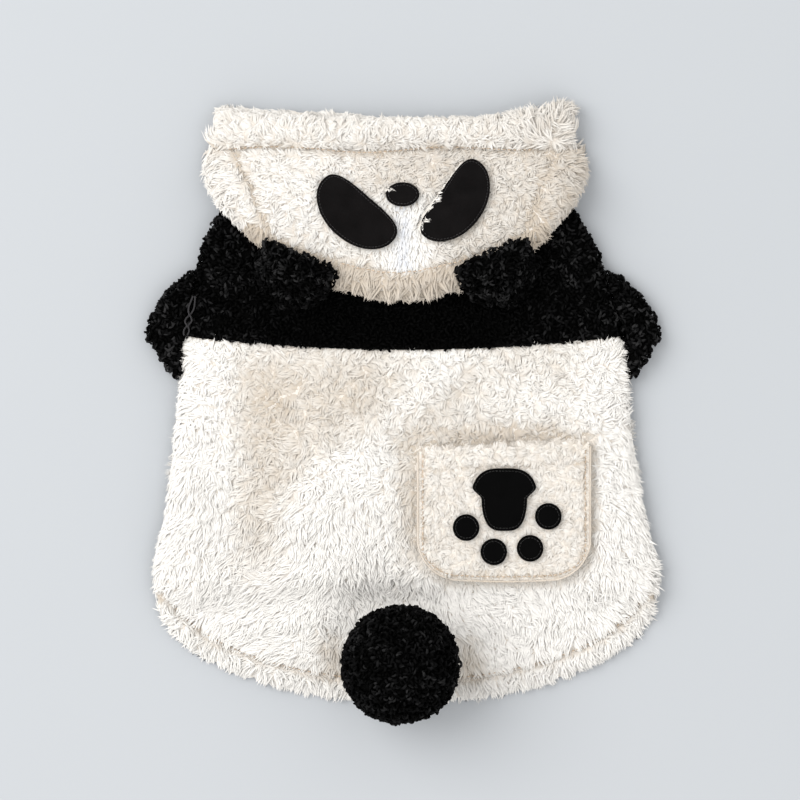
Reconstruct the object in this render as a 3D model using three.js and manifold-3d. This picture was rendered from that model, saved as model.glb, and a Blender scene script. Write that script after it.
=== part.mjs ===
// A small dog's hooded fleece sweater, laid flat on its belly with its back up and its hood
// folded back over the shoulders. Millimetres, +Z up, +Y towards the hood, X across.
// Two layers of cloth lie on each other in the body, the sleeves and the hood. Each layer is
// a wall with a narrow slit between it and the next, and what is sewn on is made from the
// panel that it lies on.
import * as THREE from "three";
import Module from "manifold-3d";
import { mergeVertices } from "three/addons/utils/BufferGeometryUtils.js";

const wasm = await Module();
wasm.setup();

// Driving sizes
const seamGap = 0.4; // between pieces that are sewn together
const cloth = 6; // fleece with its pile
const slit = 3; // between two layers that lie on each other
const folded = 2 * cloth + slit; // height of a folded edge
const rollIn = 0.3; // share of the wall by which a sewn edge rolls in

const colours = {
  white: { color: "#f3eee6", roughness: 0.95, metalness: 0 },
  black: { color: "#0d0d0e", roughness: 0.95, metalness: 0 },
  felt: { color: "#161416", roughness: 0.9, metalness: 0 },
};

const body = {
  foldRadius: 10, // of the side folds, seen from above
  flapShare: 0.62, // where the belly seam runs, as a share of the half width
  neckY: 116,
  seamY: 35, // yoke to back panel, at the middle
  seamRise: 8, // how much higher that seam is at the sides
  cornerY: -104, // where the hem leaves the side folds
  tailDrop: 66, // how far the rounded hem hangs below its corners
  hemRise: 14, // how much higher the hem is at the belly seam
  bellyHemY: -86,
  hemDepth: 13, // edge to stitching
  hemEdge: { reach: 4, drop: 3.4 }, // how the turned hem thins towards its edge
  hemPuff: { from: 7, breadth: 3.5, height: 1.5 }, // and swells inside it
  hemDraw: { breadth: 1.7, depth: 1.8 }, // and is drawn in along its stitching
  lowEdge: 2, // height of the hem's rounded edge where it lies on the floor
  settleRise: 12, // how much higher the back comes down at its middle
  settleOver: 20, // and over what distance
  nominalHalf: 148,
};

// Outline of the body from above, from the neck to the hem
const bodySections = [
  { y: 116, centre: -2.9, half: 103 },
  { y: 105, centre: -2.9, half: 110 },
  { y: 92, centre: -2, half: 116 },
  { y: 70, centre: -1.2, half: 122 },
  { y: 41, centre: 0.6, half: 130 },
  { y: 15, centre: 0.6, half: 132 },
  { y: -6, centre: 0, half: 134 },
  { y: -34, centre: 0.6, half: 137.5 },
  { y: -62, centre: 1.2, half: 141.5 },
  { y: -77, centre: 1.4, half: 145.5 },
  { y: -89, centre: 1.7, half: 148 },
  { y: -104, centre: 1.7, half: 148 },
  { y: -180, centre: 1.7, half: 148 },
];

// Soft ridges and hollows of the back, each along a line, with its half breadth and height
const backFolds = [
  { fromX: -115, fromY: 32, toX: -127, toY: -100, breadth: 12, height: 2.8 }, // left roll
  { fromX: -82, fromY: 16, toX: -84, toY: -84, breadth: 17, height: -2.4 }, // left hollow
  { fromX: 24, fromY: 20, toX: -60, toY: -62, breadth: 17, height: 2.8 }, // long ridge
  { fromX: 38, fromY: 17, toX: 3, toY: -16, breadth: 8, height: -2 }, // beside the ridge
  { fromX: 0, fromY: -24, toX: 2, toY: -86, breadth: 8, height: -1.6 }, // beside the pocket
  { fromX: 108, fromY: 24, toX: 121, toY: -80, breadth: 11, height: 2.4 }, // right roll
  { fromX: 60, fromY: 14, toX: 90, toY: 0, breadth: 13, height: 1.6 }, // above the pocket
  { fromX: 48, fromY: -122, toX: 104, toY: -114, breadth: 13, height: 2.2 }, // low right
  { fromX: -52, fromY: -116, toX: -34, toY: -84, breadth: 14, height: 2.2 }, // low middle
  { fromX: -104, fromY: -116, toX: -76, toY: -130, breadth: 12, height: 1.6 }, // low left
];

const hood = {
  centre: -4.4,
  rearCentre: -2,
  half: 113,
  browY: 151, // where the brim is stitched
  cheekY: 140, // where the sides start to round in
  rearY: 61, // the fold that lies furthest back
  power: 1.65, // how full the rounded outline is
  edgeRadius: 12,
  earSeam: 0.81, // ear seam, as a share of the way from the brow to the rear fold
  browSeam: 0.861, // side seam at the brow, as a share of the half width
  napeSeam: 0.68, // and at the ear seam
  rampFront: 153, // from here back the hood climbs
  rampBack: 118, // onto the shoulders, which it has reached here
  sunk: 1.6, // how far its face sinks under each felt shape
  sunkShare: 0.4, // and how widely, as a share of the shape's length
  ridge: { x: 92, y: 128, breadth: 10, length: 18, height: 1.2 }, // beside the right seam
  clear: 0.9, // under what is sewn on it
};

// The brim is the turned hem round the face, a flattened ring. along runs from its
// stitching to its edge.
const brim = { half: 109, edgeHalf: 106, frontY: 170.5, leftRise: 4.5, rightRise: 8, lip: 2.5 };
const brimSections = [
  { along: 0, height: 15 },
  { along: 0.12, height: 18 },
  { along: 0.4, height: 21 },
  { along: 0.75, height: 20.5 },
  { along: 0.93, height: 18 },
  { along: 1, height: 15 },
];

const sleeve = {
  topY: 82, // armhole, along the side of the body
  bottomY: 42,
  cuffX: 150.5,
  cuffY: 46,
  bulgeX: 141, // control point of the upper edge
  bulgeY: 71,
  cuffLowY: 16,
  height: 15,
  cuffHeight: 13.4,
  edgeRadius: 7,
  clear: 0.6,
};

const ear = {
  rootHalf: 24,
  depth: 36,
  loft: 10.5, // thickness at the middle
  rim: 3,
  straight: 0.3, // share of its length before it starts to narrow
  narrowing: 2.2, // how round its end is
  bow: 0.1, // how much shorter it is at its sides
  drape: 2, // how far its middle stands off as it crosses the rear fold
  clear: 0.5, // over the yoke
  places: [
    { name: "ear_left", x: -58, y: 90.5, turn: -23.5 },
    { name: "ear_right", x: 50, y: 91.5, turn: 23.5 },
  ],
};

const pocket = {
  x: 58.5,
  half: 50,
  topY: -20.5,
  tilt: 2.5, // how much higher its right end is than its middle
  bottomY: -99.5,
  corner: 22,
  sag: 3,
  thickness: 3.8,
  clear: 0.8,
  mouth: 1.4, // how far the middle of its mouth stands off
  hem: 12, // depth of the turned hem at its mouth
  hemHeight: 0.9,
};

const tail = { x: -1.5, y: -146.5, radius: 35.5, lift: 38, clear: 1, knob: 1.3, detail: 7 };
// Waves over the unit ball that make its knobs, each along its own direction
const tailWaves = [
  [13.1, 7.3, 0],
  [0, 12.3, -8.9],
  [6.1, 0, 14.7],
];

// Felt shapes: a bent oval for each eye patch, an oval nose, and a paw
const felt = 1.3;
const eyePatches = [
  { name: "eye_patch_left", x: -29, y: 112, breadth: 28.5, turn: -41, bend: 4.5 },
  { name: "eye_patch_right", x: 33, y: 118.5, breadth: 27, turn: 235, bend: -5.5 },
].map((patch) => ({ ...patch, length: 54, power: 0.86 }));
const nose = { name: "nose", x: -0.3, y: 124.5, length: 19.4, breadth: 14.2 };
// The pad is wide above its waist and narrow below it. waist is the share of its half length
// over which it widens, and power says how full its ends are.
const pawPad = {
  name: "paw_pad",
  x: 58.6,
  y: -51.8,
  length: 36.3,
  wide: 19.5,
  narrow: 13.2,
  waist: 0.42,
  power: 0.6,
};
const toeRadius = 7.7;
const toes = [
  { x: 36.5, y: -68 },
  { x: 52.5, y: -82 },
  { x: 73.5, y: -80 },
  { x: 84, y: -61.5 },
];

// Small sums
const mix = (a, b, share) => a + (b - a) * share;
const clamp = (value, low, high) => Math.min(high, Math.max(low, value));
const smooth = (share) => {
  const s = clamp(share, 0, 1);
  return s * s * (3 - 2 * s);
};
const hump = (distance, breadth) => Math.exp(-((distance / breadth) ** 2));
// Height of a rounded edge, as a share, at a distance in from its outline
const rounded = (distance, radius) =>
  distance >= radius ? 1 : Math.sqrt(1 - (1 - Math.max(distance, 0) / radius) ** 2);

// One column of a table, read smoothly between its rows
function read(rows, key, column, at) {
  const turn = rows[0][key] < rows[1][key] ? 1 : -1;
  let i = 0;
  while (i < rows.length - 2 && (at - rows[i + 1][key]) * turn > 0) i++;
  const slope = (a, b) => (rows[b][column] - rows[a][column]) / (rows[b][key] - rows[a][key]);
  const span = rows[i + 1][key] - rows[i][key];
  const t = clamp((at - rows[i][key]) / span, 0, 1);
  const here = slope(i, i + 1);
  const before = i > 0 ? (slope(i - 1, i) + here) / 2 : here;
  const after = i < rows.length - 2 ? (slope(i + 1, i + 2) + here) / 2 : here;
  const h = 3 * t * t - 2 * t * t * t;
  const start = t * (1 - t) * (1 - t) * span * before;
  const end = t * t * (t - 1) * span * after;
  return mix(rows[i][column], rows[i + 1][column], h) + start + end;
}

// n steps from 0 to 1, with a narrow one at each end that is wanted
function steps(n, first = 0, last = 0) {
  const inner = n - (first ? 1 : 0) - (last ? 1 : 0);
  const values = [];
  if (first) values.push(0);
  for (let i = 0; i <= inner; i++) values.push(mix(first, 1 - last, i / inner));
  if (last) values.push(1);
  return values;
}

// A closed wall between an outer and an inner surface, each a function of two parameters.
// A ring closes on itself in the first one. rolled names the sewn edges that roll in.
function clothWall(outer, inner, across, down, { ring = false, rolled = "" } = {}) {
  const points = [];
  const grid = (surface, isOuter) =>
    down.map((v, j) =>
      across.map((u, i) => {
        const p = surface(u, v);
        const atEdge =
          (rolled.includes("a") && i === 0) ||
          (rolled.includes("b") && i === across.length - 1) ||
          (rolled.includes("c") && j === 0) ||
          (rolled.includes("d") && j === down.length - 1);
        if (isOuter && atEdge) {
          const q = inner(u, v);
          p.forEach((value, k) => (p[k] = mix(value, q[k], rollIn)));
        }
        points.push(p);
        return points.length - 1;
      }),
    );
  const top = grid(outer, true);
  const under = grid(inner, false);
  const triangles = [];
  const same = (a, b) => points[a].every((value, k) => Math.abs(value - points[b][k]) < 1e-4);
  const triangle = (a, b, c) => {
    if (!same(a, b) && !same(b, c) && !same(a, c)) triangles.push(a, b, c);
  };
  const apart = (a, b) => Math.hypot(...points[a].map((value, k) => value - points[b][k]));
  const quad = (a, b, c, d) => {
    if (apart(b, d) < apart(a, c)) [a, b, c, d] = [b, c, d, a];
    triangle(a, b, c);
    triangle(a, c, d);
  };
  const columns = ring ? across.length : across.length - 1;
  const next = (i) => (i + 1) % across.length;
  for (let j = 0; j < down.length - 1; j++) {
    for (let i = 0; i < columns; i++) {
      quad(top[j][i], top[j][next(i)], top[j + 1][next(i)], top[j + 1][i]);
      quad(under[j][i], under[j + 1][i], under[j + 1][next(i)], under[j][next(i)]);
    }
    if (!ring) {
      const last = across.length - 1;
      quad(top[j][0], top[j + 1][0], under[j + 1][0], under[j][0]);
      quad(top[j][last], under[j][last], under[j + 1][last], top[j + 1][last]);
    }
  }
  const end = down.length - 1;
  for (let i = 0; i < columns; i++) {
    quad(top[0][i], under[0][i], under[0][next(i)], top[0][next(i)]);
    quad(top[end][i], top[end][next(i)], under[end][next(i)], under[end][i]);
  }
  return closedGeometry(points, triangles);
}

// A geometry whose faces point out, whichever way its grid was wound
function closedGeometry(points, triangles) {
  const corner = (i) => new THREE.Vector3(...points[triangles[i]]);
  let volume = 0;
  for (let i = 0; i < triangles.length; i += 3)
    volume += corner(i).dot(corner(i + 1).cross(corner(i + 2)));
  if (volume < 0)
    for (let i = 0; i < triangles.length; i += 3)
      [triangles[i + 1], triangles[i + 2]] = [triangles[i + 2], triangles[i + 1]];
  const geometry = new THREE.BufferGeometry();
  geometry.setAttribute("position", new THREE.Float32BufferAttribute(points.flat(), 3));
  geometry.setIndex(triangles);
  return geometry;
}

const garment = new THREE.Group();
function addPiece(name, geometry, finish) {
  geometry.computeVertexNormals();
  const mesh = new THREE.Mesh(geometry, new THREE.MeshStandardMaterial(colours[finish]));
  mesh.name = name;
  garment.add(mesh);
  return mesh;
}

// Cuts one closed geometry out of another
function cut(geometry, cutter) {
  const solid = (source) => {
    const bare = source.clone();
    bare.deleteAttribute("normal");
    bare.deleteAttribute("uv");
    const merged = mergeVertices(bare, 1e-3);
    return new wasm.Manifold(
      new wasm.Mesh({
        numProp: 3,
        vertProperties: merged.attributes.position.array,
        triVerts: new Uint32Array(merged.index.array),
      }),
    );
  };
  const mesh = solid(geometry).subtract(solid(cutter)).getMesh();
  const result = new THREE.BufferGeometry();
  result.setAttribute("position", new THREE.Float32BufferAttribute(mesh.vertProperties, 3));
  result.setIndex(new THREE.BufferAttribute(mesh.triVerts, 1));
  return result;
}

// The body is one flattened tube. q runs round it: 0 is the middle of the back, 1 the start
// of a side fold, 2 its end on the underside and 3 the belly seam, with the sign of its side.
const bodyEdge = (side, y) =>
  read(bodySections, "y", "centre", y) + side * read(bodySections, "y", "half", y);

function shareOut(q) {
  const s = Math.abs(q);
  const flat = body.nominalHalf - body.foldRadius;
  const out = s <= 1 ? flat * s : flat + body.foldRadius * Math.sin((s - 1) * Math.PI);
  return Math.min(1, out / body.nominalHalf);
}

function hemY(q) {
  const s = Math.abs(q);
  if (s > 1.5) return body.cornerY + (body.hemRise * (s - 1.5)) / 1.5;
  return body.cornerY - body.tailDrop * Math.sqrt(1 - shareOut(q) ** 2);
}

// Cosine of the hem's slope, so that a distance from the hem can be measured along Y
function hemSlope(q) {
  const s = Math.abs(q);
  const f = shareOut(Math.min(s, 1));
  const slope = ((body.tailDrop / body.nominalHalf) * f) / Math.sqrt(1 - f * f);
  return mix(1 / Math.hypot(1, slope), 1, smooth((s - 1) / 0.5));
}

const bodySeamY = (q) => body.seamY + body.seamRise * shareOut(q) ** 2;

// 0 where the back lies on the belly panel, 1 where it has come down to the floor
const settled = (q, y) => {
  const start = body.cornerY + body.settleRise * (1 - shareOut(q) ** 2);
  return smooth((start - y) / body.settleOver);
};

function foldsAt(x, y) {
  return backFolds.reduce((sum, fold) => {
    const dx = fold.toX - fold.fromX;
    const dy = fold.toY - fold.fromY;
    const t = clamp(((x - fold.fromX) * dx + (y - fold.fromY) * dy) / (dx * dx + dy * dy), 0, 1);
    const away = Math.hypot(x - fold.fromX - t * dx, y - fold.fromY - t * dy);
    return sum + fold.height * hump(away, fold.breadth);
  }, 0);
}

// The turned hem: rounded at its edge, full, and drawn in along its stitching
const hemForm = (distance) =>
  -body.hemEdge.drop * (1 - Math.min(1, distance / body.hemEdge.reach)) ** 2 +
  body.hemPuff.height * hump(distance - body.hemPuff.from, body.hemPuff.breadth) -
  body.hemDraw.depth * hump(distance - body.hemDepth, body.hemDraw.breadth);

function bodyPoint(q, y, inset) {
  const side = q < 0 ? -1 : 1;
  const s = Math.abs(q);
  const centre = read(bodySections, "y", "centre", y);
  const half = read(bodySections, "y", "half", y);
  const flat = half - body.foldRadius;
  const down = settled(q, y);
  const relief = (x, share) => {
    if (inset) return 0;
    const hem = y < body.seamY ? hemForm((y - hemY(q)) * hemSlope(q)) : 0;
    const folds = y < body.seamY + body.seamRise ? foldsAt(x, y) : 0;
    return (folds + hem) * share;
  };
  let out, z;
  if (s <= 1) {
    out = flat * s;
    z = mix(folded, cloth, down) - inset + relief(centre + side * out, 1);
  } else if (s <= 2) {
    const turn = (s - 1) * Math.PI;
    out = flat + (body.foldRadius - inset) * Math.sin(turn);
    const upright = folded / 2 + (folded / 2 - inset) * Math.cos(turn);
    const lying = inset ? 0 : body.lowEdge + (cloth - body.lowEdge) * Math.cos(turn);
    z = mix(upright, lying, down) + relief(centre + side * out, Math.max(0, Math.cos(turn)));
  } else {
    out = mix(flat, half * body.flapShare, s - 2);
    z = inset;
  }
  return [centre + side * out, y, z];
}

// Height of the back's outer surface over a point
function backTop(x, y) {
  const centre = read(bodySections, "y", "centre", y);
  const flat = read(bodySections, "y", "half", y) - body.foldRadius;
  return bodyPoint(clamp((x - centre) / flat, -1, 1), y, 0)[2];
}

const roundTheBody = [
  -3, -2, -1.8, -1.6, -1.45, -1.3, -1.15,
  ...steps(28).map((t) => mix(-1, 1, t)),
  1.15, 1.3, 1.45, 1.6, 1.8, 2, 3,
];

// Rows of the back panel: close together at the hem, then even up to the seam. The last
// row is drawn in from the seam by its gap.
const hemRows = [0, 1.4, 4, 8, 11.4, 13, 14.6, 19];
const backRows = 17;
function backRowY(q, row) {
  const hem = hemY(q);
  const top = bodySeamY(q) - seamGap / 2;
  const near = (distance) => hem + distance / hemSlope(q);
  if (row < hemRows.length) return near(hemRows[row]);
  const rest = row - hemRows.length + 1;
  const share = rest === backRows ? 1 : (rest / backRows) * 0.98;
  return mix(near(hemRows.at(-1)), top, share);
}

function buildBack() {
  const rows = hemRows.length + backRows;
  const at = (inset) => (q, row) => bodyPoint(q, backRowY(q, row), inset);
  const down = [...Array(rows).keys()];
  addPiece("back", clothWall(at(0), at(cloth), roundTheBody, down, { rolled: "d" }), "white");
}

function buildYoke() {
  const at = (inset) => (q, v) =>
    bodyPoint(q, mix(bodySeamY(q) + seamGap / 2, body.neckY, v), inset);
  let geometry = clothWall(at(0), at(cloth), roundTheBody, steps(8, 0.03, 0.03), {
    rolled: "cd",
  });
  // An armhole through each side fold, as wide as the inside of the sleeve
  for (const side of [-1, 1]) {
    const low = sleeve.bottomY + cloth + 1;
    const high = sleeve.topY - cloth - 1;
    const hole = new THREE.BoxGeometry(40, high - low, slit - 0.2);
    hole.translate(bodyEdge(side, (low + high) / 2), (low + high) / 2, folded / 2);
    geometry = cut(geometry, hole);
  }
  addPiece("yoke", geometry, "black");
}

// The belly side is flat, between the two belly seams
function buildUnderside() {
  const edge = (side, y) => {
    const share = side * (body.flapShare * read(bodySections, "y", "half", y) - 2 * seamGap);
    return read(bodySections, "y", "centre", y) + share;
  };
  const panel = (name, lowY, highY, finish) => {
    const at = (z) => (u, v) => {
      const y = mix(lowY(u), highY(u), v);
      return [mix(edge(-1, y), edge(1, y), (u + 1) / 2), y, z];
    };
    const across = steps(8).map((t) => mix(-1, 1, t));
    addPiece(name, clothWall(at(cloth), at(0), across, steps(9)), finish);
  };
  const seam = (u) => body.seamY + body.seamRise * (u * body.flapShare) ** 2;
  const hem = (u) => mix(body.bellyHemY, body.cornerY + body.hemRise, u * u);
  panel("belly", hem, (u) => seam(u) - seamGap / 2, "white");
  panel("chest", (u) => seam(u) + seamGap / 2, () => body.neckY, "black");
}

// A sleeve is a flattened tube from the armhole, along the side of the body, to its cuff
function buildSleeve(side) {
  const inner = (p) => {
    const y = mix(sleeve.bottomY, sleeve.cuffLowY, p);
    return [bodyEdge(side, y) + side * sleeve.clear, y];
  };
  const outer = (p) => {
    const start = [bodyEdge(side, sleeve.topY) + side * sleeve.clear, sleeve.topY];
    const control = [side * sleeve.bulgeX, sleeve.bulgeY];
    const end = [side * sleeve.cuffX, sleeve.cuffY];
    return start.map((a, k) => mix(mix(a, control[k], p), mix(control[k], end[k], p), p));
  };
  const at = (inset) => (a, p) => {
    const from = inner(p);
    const to = outer(p);
    const width = Math.hypot(to[0] - from[0], to[1] - from[1]);
    const height = mix(sleeve.height, sleeve.cuffHeight, p);
    const wall = (height - slit) / 2;
    const [along, z] = flatRing(a, width, height, sleeve.edgeRadius, inset ? wall : 0);
    const share = 0.5 + along / width;
    return [mix(from[0], to[0], share), mix(from[1], to[1], share), z];
  };
  const around = ringSteps(6, 5);
  const geometry = clothWall(at(0), at(1), around, steps(6, 0.04, 0.06), {
    ring: true,
    rolled: "cd",
  });
  addPiece(side < 0 ? "sleeve_left" : "sleeve_right", geometry, "black");
}

// A flattened ring seen end on: a from 0 to 4 runs along its top, round one end, back along
// its flat bottom and round the other end
function flatRing(a, width, height, radius, inset) {
  const flat = width / 2 - radius;
  const zone = Math.floor(a);
  const t = a - zone;
  const half = height / 2;
  if (zone === 0) return [mix(-flat, flat, t), height - inset];
  if (zone === 2) return [mix(flat, -flat, t), inset];
  const turn = t * Math.PI;
  const out = Math.max(radius - inset, 0.4) * Math.sin(turn);
  const up = (half - inset) * Math.cos(turn);
  return zone === 1 ? [flat + out, half + up] : [-flat - out, half - up];
}

function ringSteps(straight, round) {
  const values = [];
  for (const [zone, count] of [straight, round, straight, round].entries())
    for (let i = 0; i < count; i++) values.push(zone + i / count);
  return values;
}

// The hood is a flattened bag, open at the brim. f runs across it from -1 to 1 and g from
// the stitching of the brim to the outline at the rear.
const climb = (y) =>
  (folded + seamGap) * smooth((hood.rampFront - y) / (hood.rampFront - hood.rampBack));
const hoodFullness = (f) =>
  (1 - Math.min(1, Math.abs(f)) ** hood.power) ** (1 / hood.power);
const hoodRearY = (f, inset) =>
  hood.cheekY - (hood.cheekY - hood.rearY - inset) * hoodFullness(f);
const hoodCentre = (y) =>
  mix(hood.centre, hood.rearCentre, smooth((hood.cheekY - y) / (hood.cheekY - hood.rearY)));

function hoodHeight(f, y, inset) {
  const half = hood.half - inset;
  const tilt = (hoodRearY(f + 0.01, 0) - hoodRearY(f - 0.01, 0)) / (0.02 * half);
  const fromRear = (y - hoodRearY(f, inset)) / Math.hypot(1, Math.min(Math.abs(tilt), 3));
  const fromSide = half * (1 - Math.abs(f));
  const radius = hood.edgeRadius - inset;
  return (folded - inset) * rounded(fromSide, radius) * rounded(fromRear, radius);
}

// The hood's outer face sinks a little under each felt shape, and has a low ridge
function hoodRelief(x, y) {
  const sunk = [...eyePatches, nose].reduce((sum, shape) => {
    const away = Math.hypot(x - shape.x, y - shape.y);
    return sum + hump(away, shape.length * hood.sunkShare);
  }, 0);
  const { ridge } = hood;
  const raised = hump(x - ridge.x, ridge.breadth) * hump(y - ridge.y, ridge.length);
  return ridge.height * raised - hood.sunk * Math.min(1, sunk);
}

function hoodPoint(f, g, inset) {
  const y = mix(hood.browY, hoodRearY(f, inset), g);
  const x = hoodCentre(y) + (hood.half - inset) * f;
  const height = hoodHeight(f, y, inset);
  const relief = inset ? 0 : hoodRelief(x, y) * clamp(height / folded, 0, 1);
  return [x, y, climb(y) + height + relief];
}

function hoodTop(x, y) {
  const f = clamp((x - hoodCentre(y)) / hood.half, -1, 1);
  const height = hoodHeight(f, y, 0);
  return climb(y) + height + hoodRelief(x, y) * clamp(height / folded, 0, 1);
}

const quarter = (t, from) => Math.sin(mix(Math.asin(from), Math.PI / 2, t));
const sideSeam = (g) => mix(hood.browSeam, hood.napeSeam, Math.min(1, g / hood.earSeam));

function buildHood() {
  const gapF = seamGap / hood.half / 2;
  const gapG = seamGap / (hood.browY - hood.rearY) / 2;
  const wall = (name, place, across, down, rolled) => {
    const at = (inset) => (u, v) => hoodPoint(...place(u, v), inset);
    addPiece(name, clothWall(at(0), at(cloth), across, down, { rolled }), "white");
  };
  // The panels have their rows in common, so that their seams run side by side
  const faceRows = steps(14, 0.03, 0.03).map((v) => v * (hood.earSeam - gapG));
  const rearRows = [0, 0.12, 0.3, 0.5, 0.7, 0.88, 1].map((v) => quarter(v, hood.earSeam + gapG));
  const spread = (count) => steps(count, 0.013, 0.013).map((t) => mix(-1, 1, t));
  const middle = (u, g) => [u * (sideSeam(g) - gapF), g];
  wall("hood_face", middle, spread(20), faceRows, "abcd");
  wall("hood_rear", middle, spread(16), rearRows, "abc");
  for (const side of [-1, 1]) {
    const place = (u, g) => [side * quarter(u, sideSeam(g) + gapF), g];
    const name = side < 0 ? "hood_side_left" : "hood_side_right";
    wall(name, place, [0, 0.1, 0.35, 0.58, 0.76, 0.9, 1], [...faceRows, ...rearRows], "ac");
  }

  // The hidden layers under it share one solid, which lies on the floor in front of the
  // neck and on the yoke behind it
  const inset = cloth + 2 * seamGap;
  const neckRow = (y) => (y > body.neckY + 0.7 ? 0 : folded + seamGap);
  const rows = [150.6, 146, 141, 135, 129, 123, 117, 116.4, 110, 102, 94, 87, 80, 74, 69.5];
  const place = (u, y) => {
    const fullness = clamp((hood.cheekY - y) / (hood.cheekY - hood.rearY - inset - 1), 0, 1);
    const reach = (1 - fullness ** hood.power) ** (1 / hood.power);
    return [hoodCentre(y) + (hood.half - inset - 0.8) * Math.max(reach, 0.05) * u, y];
  };
  const upper = (u, y) => {
    const [x] = place(u, y);
    return [x, y, climb(y) + cloth * rounded(1.02 - Math.abs(u), 0.12)];
  };
  const lower = (u, y) => [...place(u, y), Math.min(neckRow(y), upper(u, y)[2] - 0.8)];
  const across = steps(14, 0.03, 0.03).map((t) => mix(-1, 1, t));
  addPiece("hood_under", clothWall(upper, lower, across, rows), "white");
}

function buildBrim() {
  const at = (inset) => (a, p) => {
    const half = mix(brim.half, brim.edgeHalf, p);
    const height = read(brimSections, "along", "height", p);
    const wall = inset ? (height - slit) / 2 : 0;
    const [across, z] = flatRing(a, 2 * half, height, 11, wall);
    const f = across / brim.half;
    const rise = f < 0 ? brim.leftRise * f * f : brim.rightRise * f ** 4;
    const lip = brim.lip * p * smooth(-3 * f) * smooth(1.5 - (2 * z) / height);
    const y = mix(hood.browY + seamGap + 0.1, brim.frontY + rise + lip, p);
    return [hood.centre - 1.6 + across, y, z];
  };
  const down = [0, 0.12, 0.35, 0.65, 0.88, 1];
  const geometry = clothWall(at(0), at(1), ringSteps(14, 6), down, { ring: true });
  addPiece("hood_brim", geometry, "white");
}

// Each ear is a small stuffed pouch, sewn into the ear seam, that hangs over the rear fold
// and lies on the yoke
function buildEars() {
  const support = (x, y) => {
    const near = [-4, 0, 4].map((dx) => hoodTop(x + dx, y + 3) + hood.clear);
    return Math.max(folded + ear.clear, hoodTop(x, y) + hood.clear, ...near);
  };
  for (const place of ear.places) {
    const turn = (place.turn * Math.PI) / 180;
    const plan = (u, v) => {
      const past = Math.max(0, v - ear.straight) / (1.01 - ear.straight);
      const across = ear.rootHalf * Math.sqrt(1 - past ** ear.narrowing) * u;
      const away = -ear.depth * v * (1 - ear.bow * u * u);
      return [
        place.x + across * Math.cos(turn) - away * Math.sin(turn),
        place.y + across * Math.sin(turn) + away * Math.cos(turn),
      ];
    };
    const lower = (u, v) => {
      const [x, y] = plan(u, v);
      return [x, y, support(x, y)];
    };
    const upper = (u, v) => {
      const [x, y] = plan(u, v);
      const fullness = Math.sqrt(1 - u ** 4) * Math.sqrt(1 - Math.abs(2 * v - 1) ** 3);
      const drape = ear.drape + mix(hoodTop(...plan(0, 0)), folded, smooth(v));
      const rest = Math.max(support(x, y), drape * fullness);
      return [x, y, rest + ear.rim + (ear.loft - ear.rim) * fullness];
    };
    const across = [-1, -0.9, -0.72, -0.45, -0.15, 0.15, 0.45, 0.72, 0.9, 1];
    const down = [0, 0.12, 0.24, 0.36, 0.48, 0.6, 0.72, 0.84, 0.93, 0.985];
    addPiece(place.name, clothWall(upper, lower, across, down), "black");
  }
}

// The pocket lies on the back, with its mouth towards the yoke
const pocketMouthY = (x) => pocket.topY + (pocket.tilt * (x - pocket.x)) / pocket.half;
const pocketLift = (x, y) => {
  const across = (x - pocket.x) / pocket.half;
  const standOff = Math.max(0, 1 - across * across) * hump(pocketMouthY(x) - y, 22);
  return pocket.clear + pocket.mouth * standOff;
};
const pocketTop = (x, y) => {
  const fromMouth = pocketMouthY(x) - y;
  const hem = pocket.hemHeight * smooth((pocket.hem - fromMouth) / 2);
  return backTop(x, y) + pocketLift(x, y) + pocket.thickness + hem;
};

function buildPocket() {
  const bottom = (x) => {
    const away = Math.abs(x - pocket.x) - (pocket.half - pocket.corner);
    const round = away > 0 ? pocket.corner - Math.sqrt(pocket.corner ** 2 - away ** 2) : 0;
    return pocket.bottomY + round + pocket.sag * ((x - pocket.x) / pocket.half) ** 2;
  };
  const at = (height) => (u, v) => {
    const x = pocket.x + pocket.half * Math.sin((u * Math.PI) / 2);
    const y = mix(pocketMouthY(x), bottom(x), v);
    return [x, y, height(x, y)];
  };
  const under = (x, y) => backTop(x, y) + pocketLift(x, y);
  const across = steps(14).map((t) => mix(-1, 1, t));
  const down = [0, 0.03, 0.09, 0.15, 0.18, 0.26, 0.36, 0.46, 0.56, 0.66, 0.76, 0.86, 0.96, 1];
  const geometry = clothWall(at(pocketTop), at(under), across, down, { rolled: "abcd" });
  addPiece("pocket", geometry, "white");
}

// A felt shape sewn on a panel. outline gives its edge at an angle, from its middle.
function buildFelt(name, middle, outline, surface, clear, sides) {
  const at = (lift) => (angle, share) => {
    const [dx, dy] = outline(angle);
    const x = middle.x + dx * share;
    const y = middle.y + dy * share;
    return [x, y, surface(x, y) + lift];
  };
  const around = [...Array(sides).keys()].map((i) => (i / sides) * 2 * Math.PI);
  const rings = [0, 0.35, 0.7, 1];
  addPiece(name, clothWall(at(clear + felt), at(clear), around, rings, { ring: true }), "felt");
}

// An oval with full ends whose long axis is bent, then turned
const bentOval = ({ length, breadth, turn = 0, bend = 0, power = 1 }) => (angle) => {
  const full = (value) => Math.sign(value) * Math.abs(value) ** power;
  const along = (length / 2) * full(Math.cos(angle));
  const across = (breadth / 2) * full(Math.sin(angle)) + bend * ((2 * along) / length) ** 2;
  const a = (turn * Math.PI) / 180;
  return [
    along * Math.cos(a) - across * Math.sin(a),
    along * Math.sin(a) + across * Math.cos(a),
  ];
};

// A pad that is broad above its waist and narrow below it
const padOutline = (angle) => {
  const up = Math.sin(angle);
  const half = mix(pawPad.narrow, pawPad.wide, smooth(up / pawPad.waist));
  const across = Math.sign(Math.cos(angle)) * Math.abs(Math.cos(angle)) ** pawPad.power;
  return [half * across, (pawPad.length / 2) * up];
};

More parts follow.
